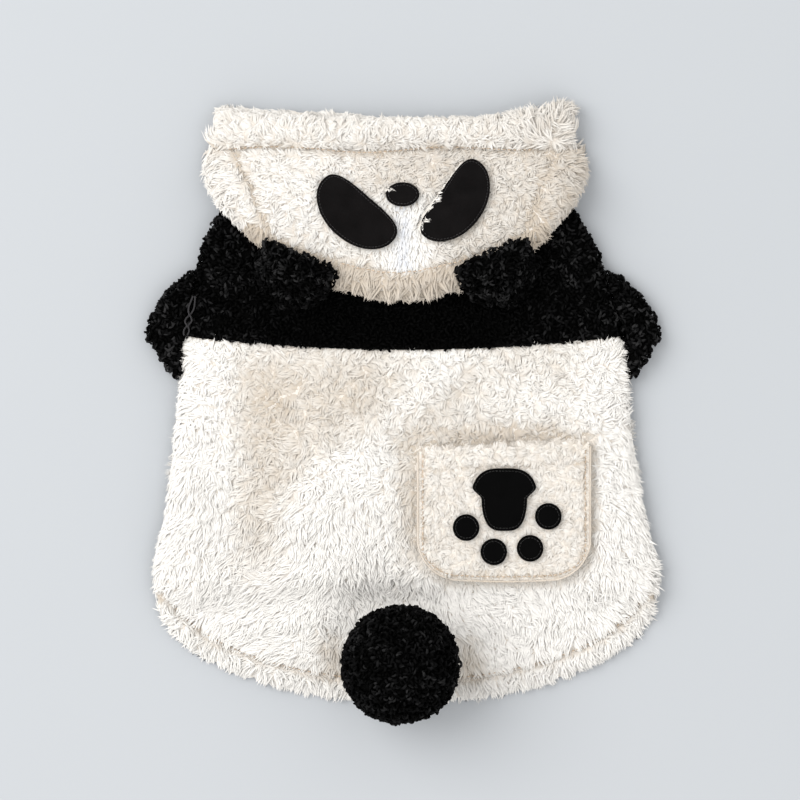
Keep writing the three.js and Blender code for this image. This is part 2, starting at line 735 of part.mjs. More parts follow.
function buildFeltShapes() {
  for (const shape of [...eyePatches, nose])
    buildFelt(shape.name, shape, bentOval(shape), hoodTop, hood.clear, 20);
  buildFelt(pawPad.name, pawPad, padOutline, pocketTop, seamGap, 32);
  const toeOutline = bentOval({ length: 2 * toeRadius, breadth: 2 * toeRadius });
  toes.forEach((toe, i) =>
    buildFelt(`paw_toe_${i + 1}`, toe, toeOutline, pocketTop, seamGap, 12),
  );
}

// The tail is a stuffed ball with a knobbly pile, sewn on near the hem, which it overhangs
function buildTail() {
  const geometry = new THREE.IcosahedronGeometry(1, tail.detail);
  const places = geometry.attributes.position;
  const point = new THREE.Vector3();
  for (let i = 0; i < places.count; i++) {
    point.fromBufferAttribute(places, i);
    const waves = tailWaves.map((wave) => Math.sin(point.dot(new THREE.Vector3(...wave))));
    const knobs = waves.reduce((sum, wave) => sum + wave, 0) / waves.length;
    point.multiplyScalar(tail.radius - tail.knob * (1 - knobs));
    point.add(new THREE.Vector3(tail.x, tail.y, tail.lift));
    const floor = backTop(point.x, Math.max(point.y, hemY(0) + 8)) + tail.clear;
    places.setXYZ(i, point.x, point.y, Math.max(point.z, floor));
  }
  addPiece("tail", geometry, "black");
}

buildBack();
buildYoke();
buildUnderside();
for (const side of [-1, 1]) buildSleeve(side);
buildHood();
buildBrim();
buildEars();
buildPocket();
buildFeltShapes();
buildTail();

// The origin sits at the bottom centre of the whole garment
const bounds = new THREE.Box3().setFromObject(garment);
const centre = bounds.getCenter(new THREE.Vector3());
garment.position.set(-centre.x, -centre.y, -bounds.min.z);

export default garment;
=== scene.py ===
# Hooded fleece sweater for a small dog, laid flat: cloth shells with a pile of joined locks.
# Shapes are worked out in millimetres on the garment's own axes and put into metres at the end.
import math

import bmesh
import bpy
import numpy as np
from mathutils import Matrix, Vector


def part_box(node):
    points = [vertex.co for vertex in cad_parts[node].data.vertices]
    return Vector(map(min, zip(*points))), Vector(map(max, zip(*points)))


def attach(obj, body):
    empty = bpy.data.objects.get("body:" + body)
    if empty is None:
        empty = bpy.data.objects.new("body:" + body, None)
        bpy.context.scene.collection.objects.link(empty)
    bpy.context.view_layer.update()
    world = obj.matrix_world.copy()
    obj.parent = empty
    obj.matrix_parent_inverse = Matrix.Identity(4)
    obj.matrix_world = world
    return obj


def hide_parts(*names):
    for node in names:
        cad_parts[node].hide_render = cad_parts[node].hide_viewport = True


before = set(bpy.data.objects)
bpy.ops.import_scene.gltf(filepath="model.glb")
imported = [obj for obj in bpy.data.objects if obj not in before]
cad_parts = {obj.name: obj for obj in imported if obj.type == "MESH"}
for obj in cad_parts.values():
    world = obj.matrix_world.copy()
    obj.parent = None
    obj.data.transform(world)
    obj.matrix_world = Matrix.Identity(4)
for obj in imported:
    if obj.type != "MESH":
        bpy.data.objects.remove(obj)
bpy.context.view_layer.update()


# Small sums on whole arrays
def mix(a, b, t):  # in a straight line from a, where t is 0, to b, where it is 1
    return a + (b - a) * t


def smooth(t):  # 0 to 1 with soft ends
    t = np.clip(t, 0, 1)
    return t * t * (3 - 2 * t)


def hump(distance, breadth):  # bell curve, 1 at no distance
    return np.exp(-((distance / breadth) ** 2))


def rounded(distance, radius):  # height of a rounded edge at a distance in from its outline
    return np.sqrt(1 - (1 - np.clip(distance / radius, 0, 1)) ** 2)


def unit(v):  # each vector over its own length
    return v / np.maximum(np.linalg.norm(v, axis=-1, keepdims=True), 1e-9)


def level(v, way):  # v without its part along way
    return v - np.sum(v * way, axis=-1, keepdims=True) * way


def stack(*columns):  # numbers side by side, as points or vectors
    return np.stack(np.broadcast_arrays(*columns), axis=-1).astype(float)


def waves(x, y, size, seed):  # smooth noise near -1 to 1: four crossed sine waves over 2.6
    rng = np.random.default_rng(seed)
    total = 0
    for turn in rng.uniform(0, math.pi, 4) + np.arange(4):
        along = x * math.cos(turn) + y * math.sin(turn)
        total = total + np.sin(along * 2 * math.pi / (size * rng.uniform(0.7, 1.4)) + rng.uniform(0, 6))
    return total / 2.6


# Where the garment's own axes lie in the frame
pocketLow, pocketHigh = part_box("pocket")
yokeLow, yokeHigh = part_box("yoke")
garment = {"pocketX": 58.5, "neckY": 116, "cloth": 6, "slit": 3, "floor": 0.7}
originShift = (
    (pocketLow[0] + pocketHigh[0]) / 2 - garment["pocketX"] / 1000,
    yokeHigh[1] - garment["neckY"] / 1000,
    0,
)
folded = 2 * garment["cloth"] + garment["slit"]


# The body: a flattened tube. q is 0 at the middle of the back, 1 where a side fold starts, 2
# where it ends on the underside and 3 at the belly seam, with the sign of its side.
body = {
    "foldRadius": 10, "flapShare": 0.62, "seamY": 35, "seamRise": 8, "cornerY": -104,
    "tailDrop": 66, "hemRise": 14, "hemDepth": 13, "nominalHalf": 148,
    "y": [-180, -104, -89, -77, -62, -34, -6, 15, 41, 70, 92, 105, 116],
    "centre": [1.7, 1.7, 1.7, 1.4, 1.2, 0.6, 0, 0.6, 0.6, -1.2, -2, -2.9, -2.9],
    "half": [148, 148, 148, 145.5, 141.5, 137.5, 134, 132, 130, 122, 116, 110, 103],
}
bodyFolds = [  # from x, y to x, y, half breadth, height
    (-115, 32, -127, -100, 12, 2.8),
    (-82, 16, -84, -84, 17, -2.4),
    (24, 20, -60, -62, 17, 2.8),
    (38, 17, 3, -16, 8, -2.0),
    (0, -24, 2, -86, 8, -1.6),
    (108, 24, 121, -80, 11, 2.4),
    (60, 14, 90, 0, 13, 1.6),
    (48, -122, 104, -114, 13, 2.2),
    (-52, -116, -34, -84, 14, 2.2),
    (-104, -116, -76, -130, 12, 1.6),
]


def readColumn(column, y):  # cubic between the rows of the body's outline
    ys = np.array(body["y"], float)
    values = np.array(body[column], float)
    slopes = np.diff(values) / np.diff(ys)
    ends = np.concatenate([slopes[:1], (slopes[1:] + slopes[:-1]) / 2, slopes[-1:]])
    i = np.clip(np.searchsorted(ys, y) - 1, 0, len(ys) - 2)
    span = ys[i + 1] - ys[i]
    t = np.clip((y - ys[i]) / span, 0, 1)
    bend = t * (1 - t) ** 2 * ends[i] + t * t * (t - 1) * ends[i + 1]
    return mix(values[i], values[i + 1], t * t * (3 - 2 * t)) + span * bend


def shareOut(q):  # how far out a line of the back runs, as a share of the half width
    s = np.abs(q)
    flat = body["nominalHalf"] - body["foldRadius"]
    beyond = flat + body["foldRadius"] * np.sin(np.clip(s - 1, 0, 1) * math.pi)
    return np.minimum(1, np.where(s <= 1, flat * s, beyond) / body["nominalHalf"])


def hemY(q):  # half an ellipse between the hem's corners, then a slow rise to the belly seam
    s = np.abs(q)
    drop = body["tailDrop"] * np.sqrt(1 - shareOut(q) ** 2)
    return body["cornerY"] + np.where(s > 1.5, body["hemRise"] * (s - 1.5) / 1.5, -drop)


def hemSlope(q):  # cosine of the hem's slope
    s = np.abs(q)
    f = shareOut(np.minimum(s, 1))
    slope = body["tailDrop"] / body["nominalHalf"] * f / np.sqrt(1 - f * f)
    return mix(1 / np.hypot(1, slope), 1, smooth((s - 1) / 0.5))


def bodySeamY(q):  # the yoke's seam, a little higher towards the sides
    return body["seamY"] + body["seamRise"] * shareOut(q) ** 2


def settled(q, y):  # 0 where the back lies on the belly, 1 where it lies on the floor
    return smooth((body["cornerY"] + 12 * (1 - shareOut(q) ** 2) - y) / 20)


def foldsAt(x, y):  # soft ridges and hollows, each along a line
    total = 0
    for x0, y0, x1, y1, breadth, height in bodyFolds:
        dx, dy = x1 - x0, y1 - y0
        t = np.clip(((x - x0) * dx + (y - y0) * dy) / (dx * dx + dy * dy), 0, 1)
        total = total + height * hump(np.hypot(x - x0 - t * dx, y - y0 - t * dy), breadth)
    return total


def fineFolds(x, y):  # small unevenness of laid cloth
    return 0.5 * waves(x, y, 46, 11) + 0.35 * waves(x, y, 24, 12)


hemShape = {  # in from the hem's edge, in millimetres
    "thinBy": 3.4, "thinWithin": 4, "fullBy": 1.5, "fullAt": 7, "fullBreadth": 3.5,
    "drawnBy": 1.8, "drawnBreadth": 1.7,
}


def hemForm(distance):  # thin at the edge, full, and drawn in along the stitching
    edge = 1 - np.clip(distance / hemShape["thinWithin"], 0, 1)
    full = hemShape["fullBy"] * hump(distance - hemShape["fullAt"], hemShape["fullBreadth"])
    drawn = hemShape["drawnBy"] * hump(distance - body["hemDepth"], hemShape["drawnBreadth"])
    return full - hemShape["thinBy"] * edge ** 2 - drawn


def bodySkin(q, y, depth, floor=None):
    # The tube's outer surface moved in by depth: flat, half round at the folds, flat below
    floor = garment["floor"] if floor is None else floor
    side = np.where(q < 0, -1.0, 1.0)
    s = np.abs(q)
    centre, half = readColumn("centre", y), readColumn("half", y)
    flat = half - body["foldRadius"]
    down = settled(q, y)
    turn = np.clip(s - 1, 0, 1) * math.pi
    out = flat * np.minimum(s, 1) + (body["foldRadius"] - depth) * np.sin(turn)
    out = np.where(s > 2, mix(flat, half * body["flapShare"], s - 2), out)
    x = centre + side * out
    raised = foldsAt(x, y) + fineFolds(x, y)
    relief = np.where(y < body["seamY"] + body["seamRise"], raised, 0.6 * fineFolds(x, y))
    relief = relief + np.where(y < body["seamY"], hemForm((y - hemY(q)) * hemSlope(q)), 0)
    share = np.where(s <= 1, 1, np.maximum(0, np.cos(turn)))
    upright = mix(floor, folded - depth, 0.5 + 0.5 * np.cos(turn))
    lying = floor + (garment["cloth"] - depth - floor) * np.maximum(0, np.cos(turn))
    z = mix(upright, lying, down) + relief * share
    return stack(x, y, np.maximum(z, floor))


def backTop(x, y):  # the back's outer surface over a point
    flat = readColumn("half", y) - body["foldRadius"]
    q = np.clip((x - readColumn("centre", y)) / flat, -1, 1)
    return bodySkin(q, y, 0)[..., 2]


# The hood: a flattened bag. f runs across it and g from the brim's stitching to the rear.
hood = {
    "centre": -4.4, "rearCentre": -2, "half": 113, "browY": 151, "cheekY": 140, "rearY": 61,
    "power": 1.65, "edgeRadius": 12, "earSeam": 0.81, "browSeam": 0.861, "napeSeam": 0.68,
    "rampFront": 153, "rampBack": 118,
}


def climb(y):  # from the floor onto the shoulders
    ramp = hood["rampFront"] - hood["rampBack"]
    return (folded + 0.4) * smooth((hood["rampFront"] - y) / ramp)


def hoodRearY(f, inset):  # a full, rounded outline
    full = (1 - np.minimum(1, np.abs(f)) ** hood["power"]) ** (1 / hood["power"])
    return hood["cheekY"] - (hood["cheekY"] - hood["rearY"] - inset) * full


def hoodCentre(y):  # the hood's middle, which shifts from brim to rear
    share = smooth((hood["cheekY"] - y) / (hood["cheekY"] - hood["rearY"]))
    return mix(hood["centre"], hood["rearCentre"], share)


def hoodHeight(f, y, inset):  # flat, rounded towards its outline
    half = hood["half"] - inset
    tilt = (hoodRearY(f + 0.01, 0) - hoodRearY(f - 0.01, 0)) / (0.02 * half)
    fromRear = (y - hoodRearY(f, inset)) / np.hypot(1, np.minimum(np.abs(tilt), 3))
    radius = hood["edgeRadius"] - inset
    return (folded - inset) * rounded(half * (1 - np.abs(f)), radius) * rounded(fromRear, radius)


feltShapes = {  # sewn on the hood and on the pocket
    "eye_patch_left": {
        "x": -29, "y": 112, "length": 54, "breadth": 28.5, "turn": -41, "bend": 4.5, "power": 0.86,
    },
    "eye_patch_right": {
        "x": 33, "y": 118.5, "length": 54, "breadth": 27, "turn": 235, "bend": -5.5, "power": 0.86,
    },
    "nose": {"x": -0.3, "y": 124.5, "length": 19.4, "breadth": 14.2},
}
for toe, (toeX, toeY) in enumerate([(36.5, -68), (52.5, -82), (73.5, -80), (84, -61.5)]):
    feltShapes[f"paw_toe_{toe + 1}"] = {"x": toeX, "y": toeY, "length": 15.4, "breadth": 15.4}
feltShapes["paw_pad"] = {
    "x": 58.6, "y": -51.8, "length": 36.3, "wide": 19.5, "narrow": 13.2, "waist": 0.42,
}
faceShapes = ["eye_patch_left", "eye_patch_right", "nose"]
pawShapes = [name for name in feltShapes if name.startswith("paw")]


def hoodRelief(x, y):  # full at the right cheek, sunk under the felt
    sunk = sum(
        hump(np.hypot(x - feltShapes[n]["x"], y - feltShapes[n]["y"]), 0.4 * feltShapes[n]["length"])
        for n in faceShapes
    )
    return 1.2 * hump(x - 92, 10) * hump(y - 128, 18) - 1.6 * np.minimum(1, sunk)


def hoodSkin(f, g, depth):  # the bag's outer surface moved in by depth
    y = mix(hood["browY"], hoodRearY(f, depth), g)
    x = hoodCentre(y) + (hood["half"] - depth) * f
    height = hoodHeight(f, y, depth)
    share = np.clip(height / folded, 0, 1)
    z = climb(y) + height + (hoodRelief(x, y) + fineFolds(x, y)) * share
    return stack(x, y, np.maximum(z, garment["floor"]))


def hoodTop(x, y):  # the hood's outer surface over a point
    f = np.clip((x - hoodCentre(y)) / hood["half"], -1, 1)
    height = hoodHeight(f, y, 0)
    return climb(y) + height + hoodRelief(x, y) * np.clip(height / folded, 0, 1)


def sideSeam(g):  # the side seam's place across the hood
    return mix(hood["browSeam"], hood["napeSeam"], np.minimum(1, g / hood["earSeam"]))


# Felt outlines: an oval with full ends whose long axis is bent, and a pad
def feltOutline(shape, angle):
    c, s = np.cos(angle), np.sin(angle)
    if "wide" in shape:
        half = mix(shape["narrow"], shape["wide"], smooth(s / shape["waist"]))
        return half * np.sign(c) * np.abs(c) ** 0.6, shape["length"] / 2 * s
    power = shape.get("power", 1)
    along = shape["length"] / 2 * np.sign(c) * np.abs(c) ** power
    across = shape["breadth"] / 2 * np.sign(s) * np.abs(s) ** power
    across = across + shape.get("bend", 0) * (2 * along / shape["length"]) ** 2
    a = math.radians(shape.get("turn", 0))
    return along * math.cos(a) - across * math.sin(a), along * math.sin(a) + across * math.cos(a)


def outsideFelt(names, x, y):  # distance out from the nearest felt edge, negative under it
    nearest = np.full(np.shape(x), 1e9)
    angles = np.linspace(0, 2 * math.pi, 96, endpoint=False)
    for name in names:
        shape = feltShapes[name]
        ox, oy = feltOutline(shape, angles)
        dx, dy = x[..., None] - shape["x"], y[..., None] - shape["y"]
        gap = np.min(np.hypot(dx - ox, dy - oy), axis=-1)
        edge = np.stack([ox, oy], axis=-1)
        ahead = np.roll(edge, -1, axis=0)
        low, high = edge[:, 1] - dy, ahead[:, 1] - dy
        crossing = edge[:, 0] + (ahead[:, 0] - edge[:, 0]) * low / np.where(low == high, 1, low - high)
        inside = np.sum((low * high < 0) & (crossing > dx), axis=-1) % 2 == 1
        nearest = np.minimum(nearest, np.where(inside, -gap, gap))
    return nearest


# Meshes from arrays
def toFrame(points):  # millimetres on the garment's axes to metres in the frame
    return points * 0.001 + np.array(originShift)


def fillMesh(name, points, corners, sides, material):
    # points in millimetres, corners the vertex numbers of each face in turn, sides per face
    mesh = bpy.data.meshes.new(name)
    faces = len(corners) // sides
    mesh.vertices.add(len(points))
    mesh.loops.add(len(corners))
    mesh.polygons.add(faces)
    mesh.vertices.foreach_set("co", toFrame(points).astype(np.float32).ravel())
    mesh.loops.foreach_set("vertex_index", corners.astype(np.int32))
    mesh.polygons.foreach_set("loop_start", np.arange(0, len(corners), sides, dtype=np.int32))
    mesh.polygons.foreach_set("use_smooth", np.ones(faces, bool))
    mesh.update(calc_edges=True)
    mesh.validate()
    mesh.materials.append(materials[material])
    piece = bpy.data.objects.new(name, mesh)
    bpy.context.scene.collection.objects.link(piece)
    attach(piece, "root")
    return piece


def gridCorners(rows, columns, ring=False):  # quads of a grid, row by row
    index = np.arange(rows * columns).reshape(rows, columns)
    if ring:
        index = np.concatenate([index, index[:, :1]], axis=1)
    a, b = index[:-1, :-1], index[:-1, 1:]
    d, c = index[1:, :-1], index[1:, 1:]
    return np.stack([a, b, c, d], axis=-1).reshape(-1)


def facingOut(grid):  # the grid, turned over if it faces down or into itself
    fromBelow = grid - (grid.reshape(-1, 3).mean(axis=0) - np.array([0, 0, 30]))
    return grid if np.sum(gridNormals(grid) * fromBelow) > 0 else grid[:, ::-1]


def gridPiece(name, grid, material, ring=False, thickness=0.0):  # thickness goes inwards
    piece = fillMesh(name, grid.reshape(-1, 3), gridCorners(*grid.shape[:2], ring), 4, material)
    if thickness:
        wall = piece.modifiers.new("cloth", "SOLIDIFY")
        wall.thickness = thickness / 1000
        wall.offset = -1
    return piece


def weld(piece):  # joins the points that lie on each other, and drops empty faces
    sheet = bmesh.new()
    sheet.from_mesh(piece.data)
    bmesh.ops.remove_doubles(sheet, verts=sheet.verts, dist=0.00002)
    bmesh.ops.dissolve_degenerate(sheet, edges=sheet.edges, dist=0.00001)
    sheet.to_mesh(piece.data)
    sheet.free()
    piece.data.polygons.foreach_set("use_smooth", np.ones(len(piece.data.polygons), bool))


def standIn(node, name, grid, material, ring=False, thickness=0.0):
    # The mesh that stands for a node; a closed one without a wall has its ends welded
    piece = gridPiece(name, grid, material, ring, thickness)
    if ring and not thickness:
        weld(piece)
    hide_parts(node)
    return piece


def skirted(grid, low):  # a border that drops from the grid's outline to the height of low
    grid = np.pad(grid, ((1, 1), (1, 1), (0, 0)), mode="edge")
    edge = np.ones(grid.shape[:2], bool)
    edge[1:-1, 1:-1] = False
    height = low(grid[..., 0], grid[..., 1])
    grid[..., 2] = np.where(edge, np.minimum(height, grid[..., 2]), grid[..., 2])
    return grid


def pouch(upper, lower):  # a ring of columns round both sheets, closed at both ends
    ring = np.concatenate([upper, lower[:, ::-1]], axis=1)
    flat = (ring + ring[:, ::-1]) / 2
    return np.concatenate([flat[:1], ring, flat[-1:]])


def gridNormals(grid):  # across the steps to the next column and to the next row
    across, down = np.gradient(grid, axis=1), np.gradient(grid, axis=0)
    return unit(np.cross(across, down))


evenSteps = (0.7548776662, 0.5698402910)  # of a sequence that fills a square evenly


def scatter(grid, perArea, seed, keep=None):
    # Roots of a pile, evenly over the area of a grid, where keep says so
    rng = np.random.default_rng(seed)
    a, b, c, d = grid[:-1, :-1], grid[:-1, 1:], grid[1:, 1:], grid[1:, :-1]
    nearHalf = np.linalg.norm(np.cross(b - a, c - a), axis=-1)
    farHalf = np.linalg.norm(np.cross(c - a, d - a), axis=-1)
    upTo = np.cumsum(((nearHalf + farHalf) / 2).ravel())
    count = int(upTo[-1] * perArea)
    picked = np.searchsorted(upTo, (np.arange(count) + rng.random(count)) / count * upTo[-1])
    j, i = np.divmod(np.minimum(picked, upTo.size - 1), grid.shape[1] - 1)
    s, t = [((np.arange(count) * k + rng.random(count) * 0.25) % 1)[:, None] for k in evenSteps]

    def between(values):
        low = mix(values[j, i], values[j, i + 1], s)
        return mix(low, mix(values[j + 1, i], values[j + 1, i + 1], s), t)

    roots = {"at": between(grid), "normal": unit(between(gridNormals(grid)))}
    return roots if keep is None else thin(roots, keep(*roots["at"].T))


def thin(roots, keep):  # only the rows that keep says
    return {key: value[keep] for key, value in roots.items()}


def hashed(cells, salt):
    # A fixed random number from 0 to 1 for each cell of space: large primes mix its numbers
    mixed = cells[..., 0] * 73856093 ^ cells[..., 1] * 19349663 ^ cells[..., 2] * 83492791 ^ salt * 40503
    mixed = (mixed ^ (mixed >> 13)) & 0xFFFFFFFF
    mixed = (mixed * 1274126177) & 0xFFFFFFFF
    return ((mixed ^ (mixed >> 15)) & 0xFFFFFF) / 0x1000000


def nearestTuft(points, size):  # each cell of space holds one tuft's middle, at a random place
    home = np.floor(points / size).astype(np.int64)
    best = np.full(len(points), 1e9)
    middle = np.zeros_like(points)
    cellOf = home.copy()
    for step in np.ndindex(3, 3, 3):
        cell = home + np.array(step) - 1
        place = (cell + np.stack([hashed(cell, salt) for salt in (1, 2, 3)], -1)) * size
        far = np.linalg.norm(place - points, axis=-1)
        nearer = far < best
        best = np.where(nearer, far, best)
        middle[nearer] = place[nearer]
        cellOf[nearer] = cell[nearer]
    return middle, cellOf


lockCorners = {}


def lockFaces(rings):  # triangles of one three-sided lock: a root, sides and a tip
    if rings not in lockCorners:
        tip = 3 * rings
        faces = [(2, 1, 0)]
        spots = [((0.3, 0.03), (0.5, 0.08), (0.7, 0.03))]
        for k in range(rings):
            for s in range(3):
                low, high = 0.12 + 0.8 * k / rings, 0.12 + 0.8 * (k + 1) / rings
                left, right = 0.1 + 0.8 * s / 3, 0.1 + 0.8 * (s + 1) / 3
                a, b = 3 * k + s, 3 * k + (s + 1) % 3
                if k == rings - 1:
                    faces.append((a, b, tip))
                    spots.append(((left, low), (right, low), ((left + right) / 2, high)))
                    continue
                faces += [(a, b, b + 3), (a, b + 3, a + 3)]
                spots += [
                    ((left, low), (right, low), (right, high)),
                    ((left, low), (right, high), (left, high)),
                ]
        lockCorners[rings] = np.array(faces), np.array(spots)
    return lockCorners[rings]


pileCount = {"triangles": 0}


def lockPiece(name, material, path, width, tone, shape=(1, 1, 0.8, 0.5), soft=None):
    # path is (locks, rings + 1, 3); each ring has three corners round the path's direction.
    # soft, where given, holds the directions that the pile is shaded by, as wool scatters
    # light, and the locks turn their flat side to them
    count, steps = path.shape[:2]
    rings = steps - 1
    along = unit(np.gradient(path, axis=1))
    rng = np.random.default_rng(count)
    reference = rng.normal(size=(count, 3))
    if soft is not None:
        reference = soft[:, 0] + 0.3 * reference
    sides = [unit(np.cross(along[:, 0], reference))]
    for k in range(1, rings):  # carried along the lock without a twist
        sides.append(unit(level(sides[-1], along[:, k])))
    side = np.stack(sides, axis=1)
    other = np.cross(along[:, :rings], side) * (1 if soft is None else 0.35)
    radius = np.interp(np.linspace(0, 1, rings), np.linspace(0, 1, len(shape)), shape)
    points = np.zeros((count, 3 * rings + 1, 3))
    facing = np.zeros_like(points)
    for corner in range(3):
        turn = 2 * math.pi * corner / 3 + math.pi / 2 * (-1 if soft is None else 1)
        spoke = math.cos(turn) * side + math.sin(turn) * other
        size = width[:, None, None] / 2 * radius[None, :, None]
        points[:, corner:-1:3] = path[:, :rings] + spoke * size
        if soft is not None:
            facing[:, corner:-1:3] = soft[:, :rings] + 0.3 * spoke
    points[:, -1] = path[:, -1]
    points[..., 2] = np.maximum(points[..., 2], 0.35)
    faces, spots = lockFaces(rings)
    corners = (faces[None] + np.arange(count)[:, None, None] * (3 * rings + 1)).reshape(-1)
    piece = fillMesh(name, points.reshape(-1, 3), corners, 3, material)
    # One cell of the map for each lock, so that none lies on another when it is baked
    mesh = piece.data
    cells = math.ceil(math.sqrt(count))
    cell = np.stack([np.arange(count) % cells, np.arange(count) // cells], -1)
    uv = (spots[None] + cell[:, None, None]) / cells
    mesh.uv_layers.new(name="OFBake").data.foreach_set("uv", uv.astype(np.float32).ravel())
    if soft is not None:
        facing[:, -1] = soft[:, -1]
        mesh.attributes.new("custom_normal", "FLOAT_VECTOR", "POINT").data.foreach_set(
            "vector", unit(facing).astype(np.float32).ravel()
        )
    share = np.append(np.repeat(np.arange(rings) / rings, 3), 1)
    for key, values in {"tip": np.tile(share, count), "tone": np.repeat(tone, 3 * rings + 1)}.items():
        layer = mesh.attributes.new(key, "FLOAT", "POINT")
        layer.data.foreach_set("value", values.astype(np.float32))
    pileCount["triangles"] += len(corners) // 3
    print(name, count, "locks")
    return piece


hairTone = {"base": 0.38, "core": 0.28, "tuft": 0.11, "lock": 0.05}  # added up, less the painted shade


def hairPath(roots, comb, style, seed, rings=2, length=1.0, shade=0.0, cool=0.0):
    # Each lock leaves the cloth at its lean, bends over towards its comb direction and is
    # drawn to the middle of its tuft. Its tone is pale at the middle of the tuft and darker and
    # warmer between tufts, a painted shade, and where shade says so, and cool white where cool does.
    rng = np.random.default_rng(seed)
    at, normal = roots["at"], roots["normal"]
    count = len(at)
    middle, cell = nearestTuft(at, style["tuft"])
    swirl = hashed(cell, 7) * 2 * math.pi
    comb = comb + stack(np.cos(swirl), np.sin(swirl), 0) * style["swirl"]
    comb = comb + rng.normal(size=(count, 3)) * style["loose"]
    comb = unit(level(comb, normal))
    drawn = level(middle - at, normal)
    reach = style["length"] * length * (0.8 + 0.4 * hashed(cell, 8)) * rng.uniform(0.85, 1.15, count)
    lean = np.radians(style["lean"] + 9 * (hashed(cell, 9) - 0.5) + rng.normal(size=count) * 3)
    bend = np.radians(style["bend"])
    path = np.zeros((count, rings + 1, 3))
    path[:, 0] = at - 0.3 * normal
    for k in range(rings):
        angle = np.minimum(lean + bend * (k + 0.3) / rings, math.radians(96))
        way = np.cos(angle)[:, None] * normal + np.sin(angle)[:, None] * comb
        path[:, k + 1] = path[:, k] + way * (reach / rings)[:, None]
    t = np.arange(rings + 1) / rings
    path += style["draw"] * (t ** 1.2)[None, :, None] * drawn[:, None]
    away = level((path - middle[:, None]) / style["tuft"], normal[:, None])
    soft = normal[:, None] + np.reshape(style["swell"], (-1, 1, 1)) * away
    soft = soft + np.array([0, 0, style["lift"]])
    # paler towards the tuft's middle: painted shade between the tufts
    core = 1 - np.clip(np.linalg.norm(drawn, axis=-1) / (0.75 * style["tuft"]), 0, 1)
    pale = hairTone["base"] + hairTone["core"] * core + hairTone["tuft"] * hashed(cell, 10)
    pale = pale + hairTone["lock"] * rng.random(count)
    tone = np.clip(pale - shade, 0, 1) + cool
    width = style["width"] * rng.uniform(0.85, 1.2, count)
    return {"path": path, "width": width, "tone": tone, "soft": soft}


def curlPath(roots, style, seed, rings=5):
    # Each curl is most of a circle that stands on the cloth and drifts sideways
    rng = np.random.default_rng(seed)
    at, normal = roots["at"], roots["normal"]
    count = len(at)
    comb = unit(level(rng.normal(size=(count, 3)), normal))
    across = np.cross(normal, comb)
    radius = style["radius"] * rng.uniform(0.7, 1.25, count)
    start = np.radians(rng.uniform(-60, -20, count))
    sweep = np.radians(rng.uniform(190, 290, count))
    drift = style["drift"] * rng.uniform(-1, 1, count)
    t = np.arange(rings + 1) / rings
    turn = start[:, None] + sweep[:, None] * t[None]
    tilt = rng.uniform(-0.7, 0.7, count)[:, None]
    rise = radius[:, None] * (style["rise"] + np.sin(turn))
    path = at[:, None] + normal[:, None] * rise[..., None]
    path = path + comb[:, None] * (radius[:, None] * np.cos(turn))[..., None]
    path = path + across[:, None] * (drift[:, None] * (t - 0.5) + tilt * rise * 0.6)[..., None]
    middle, cell = nearestTuft(at, style["clump"])
    near = 1 - np.linalg.norm(middle - at, axis=-1) / style["clump"]
    path = path + (normal * (style["knob"] * (1.6 * near - 0.9))[:, None])[:, None]
    width = style["width"] * rng.uniform(0.8, 1.2, count)
    # paler curls and clumps, scaled by shine: painted dull highlights
    tone = style["shine"] * (0.7 * hashed(cell, 4) + 0.6 * rng.random(count) ** 2 - 0.15)
    return {"path": path, "width": width, "tone": tone, "shape": (0.8, 1, 1, 0.95, 0.8)}


def growHair(name, roots, comb, style, seed, **more):
    return lockPiece(name, "whitePile", **hairPath(roots, comb, style, seed, **more))


def growCurls(name, roots, changes, seed):  # changes are what differs from the common curl
    return lockPiece(name, "blackPile", **curlPath(roots, {**bouclePile, **changes}, seed))


# Shader sums: a socket with the operators and their reflected forms
class Sum:
    def __init__(self, nodes, socket):
        self.nodes, self.socket = nodes, socket

    def math(self, operation, other, swapped=False):
        pair = (other, self) if swapped else (self, other)
        return self.nodes.add("ShaderNodeMath", {"operation": operation}, {0: pair[0], 1: pair[1]})

    def __add__(self, other):
        return self.math("ADD", other)

    def __radd__(self, other):
        return self.math("ADD", other)

    def __sub__(self, other):
        return self.math("SUBTRACT", other)

    def __rsub__(self, other):
        return self.math("SUBTRACT", other, True)

    def __mul__(self, other):
        return self.math("MULTIPLY", other)

    def __rmul__(self, other):
        return self.math("MULTIPLY", other)


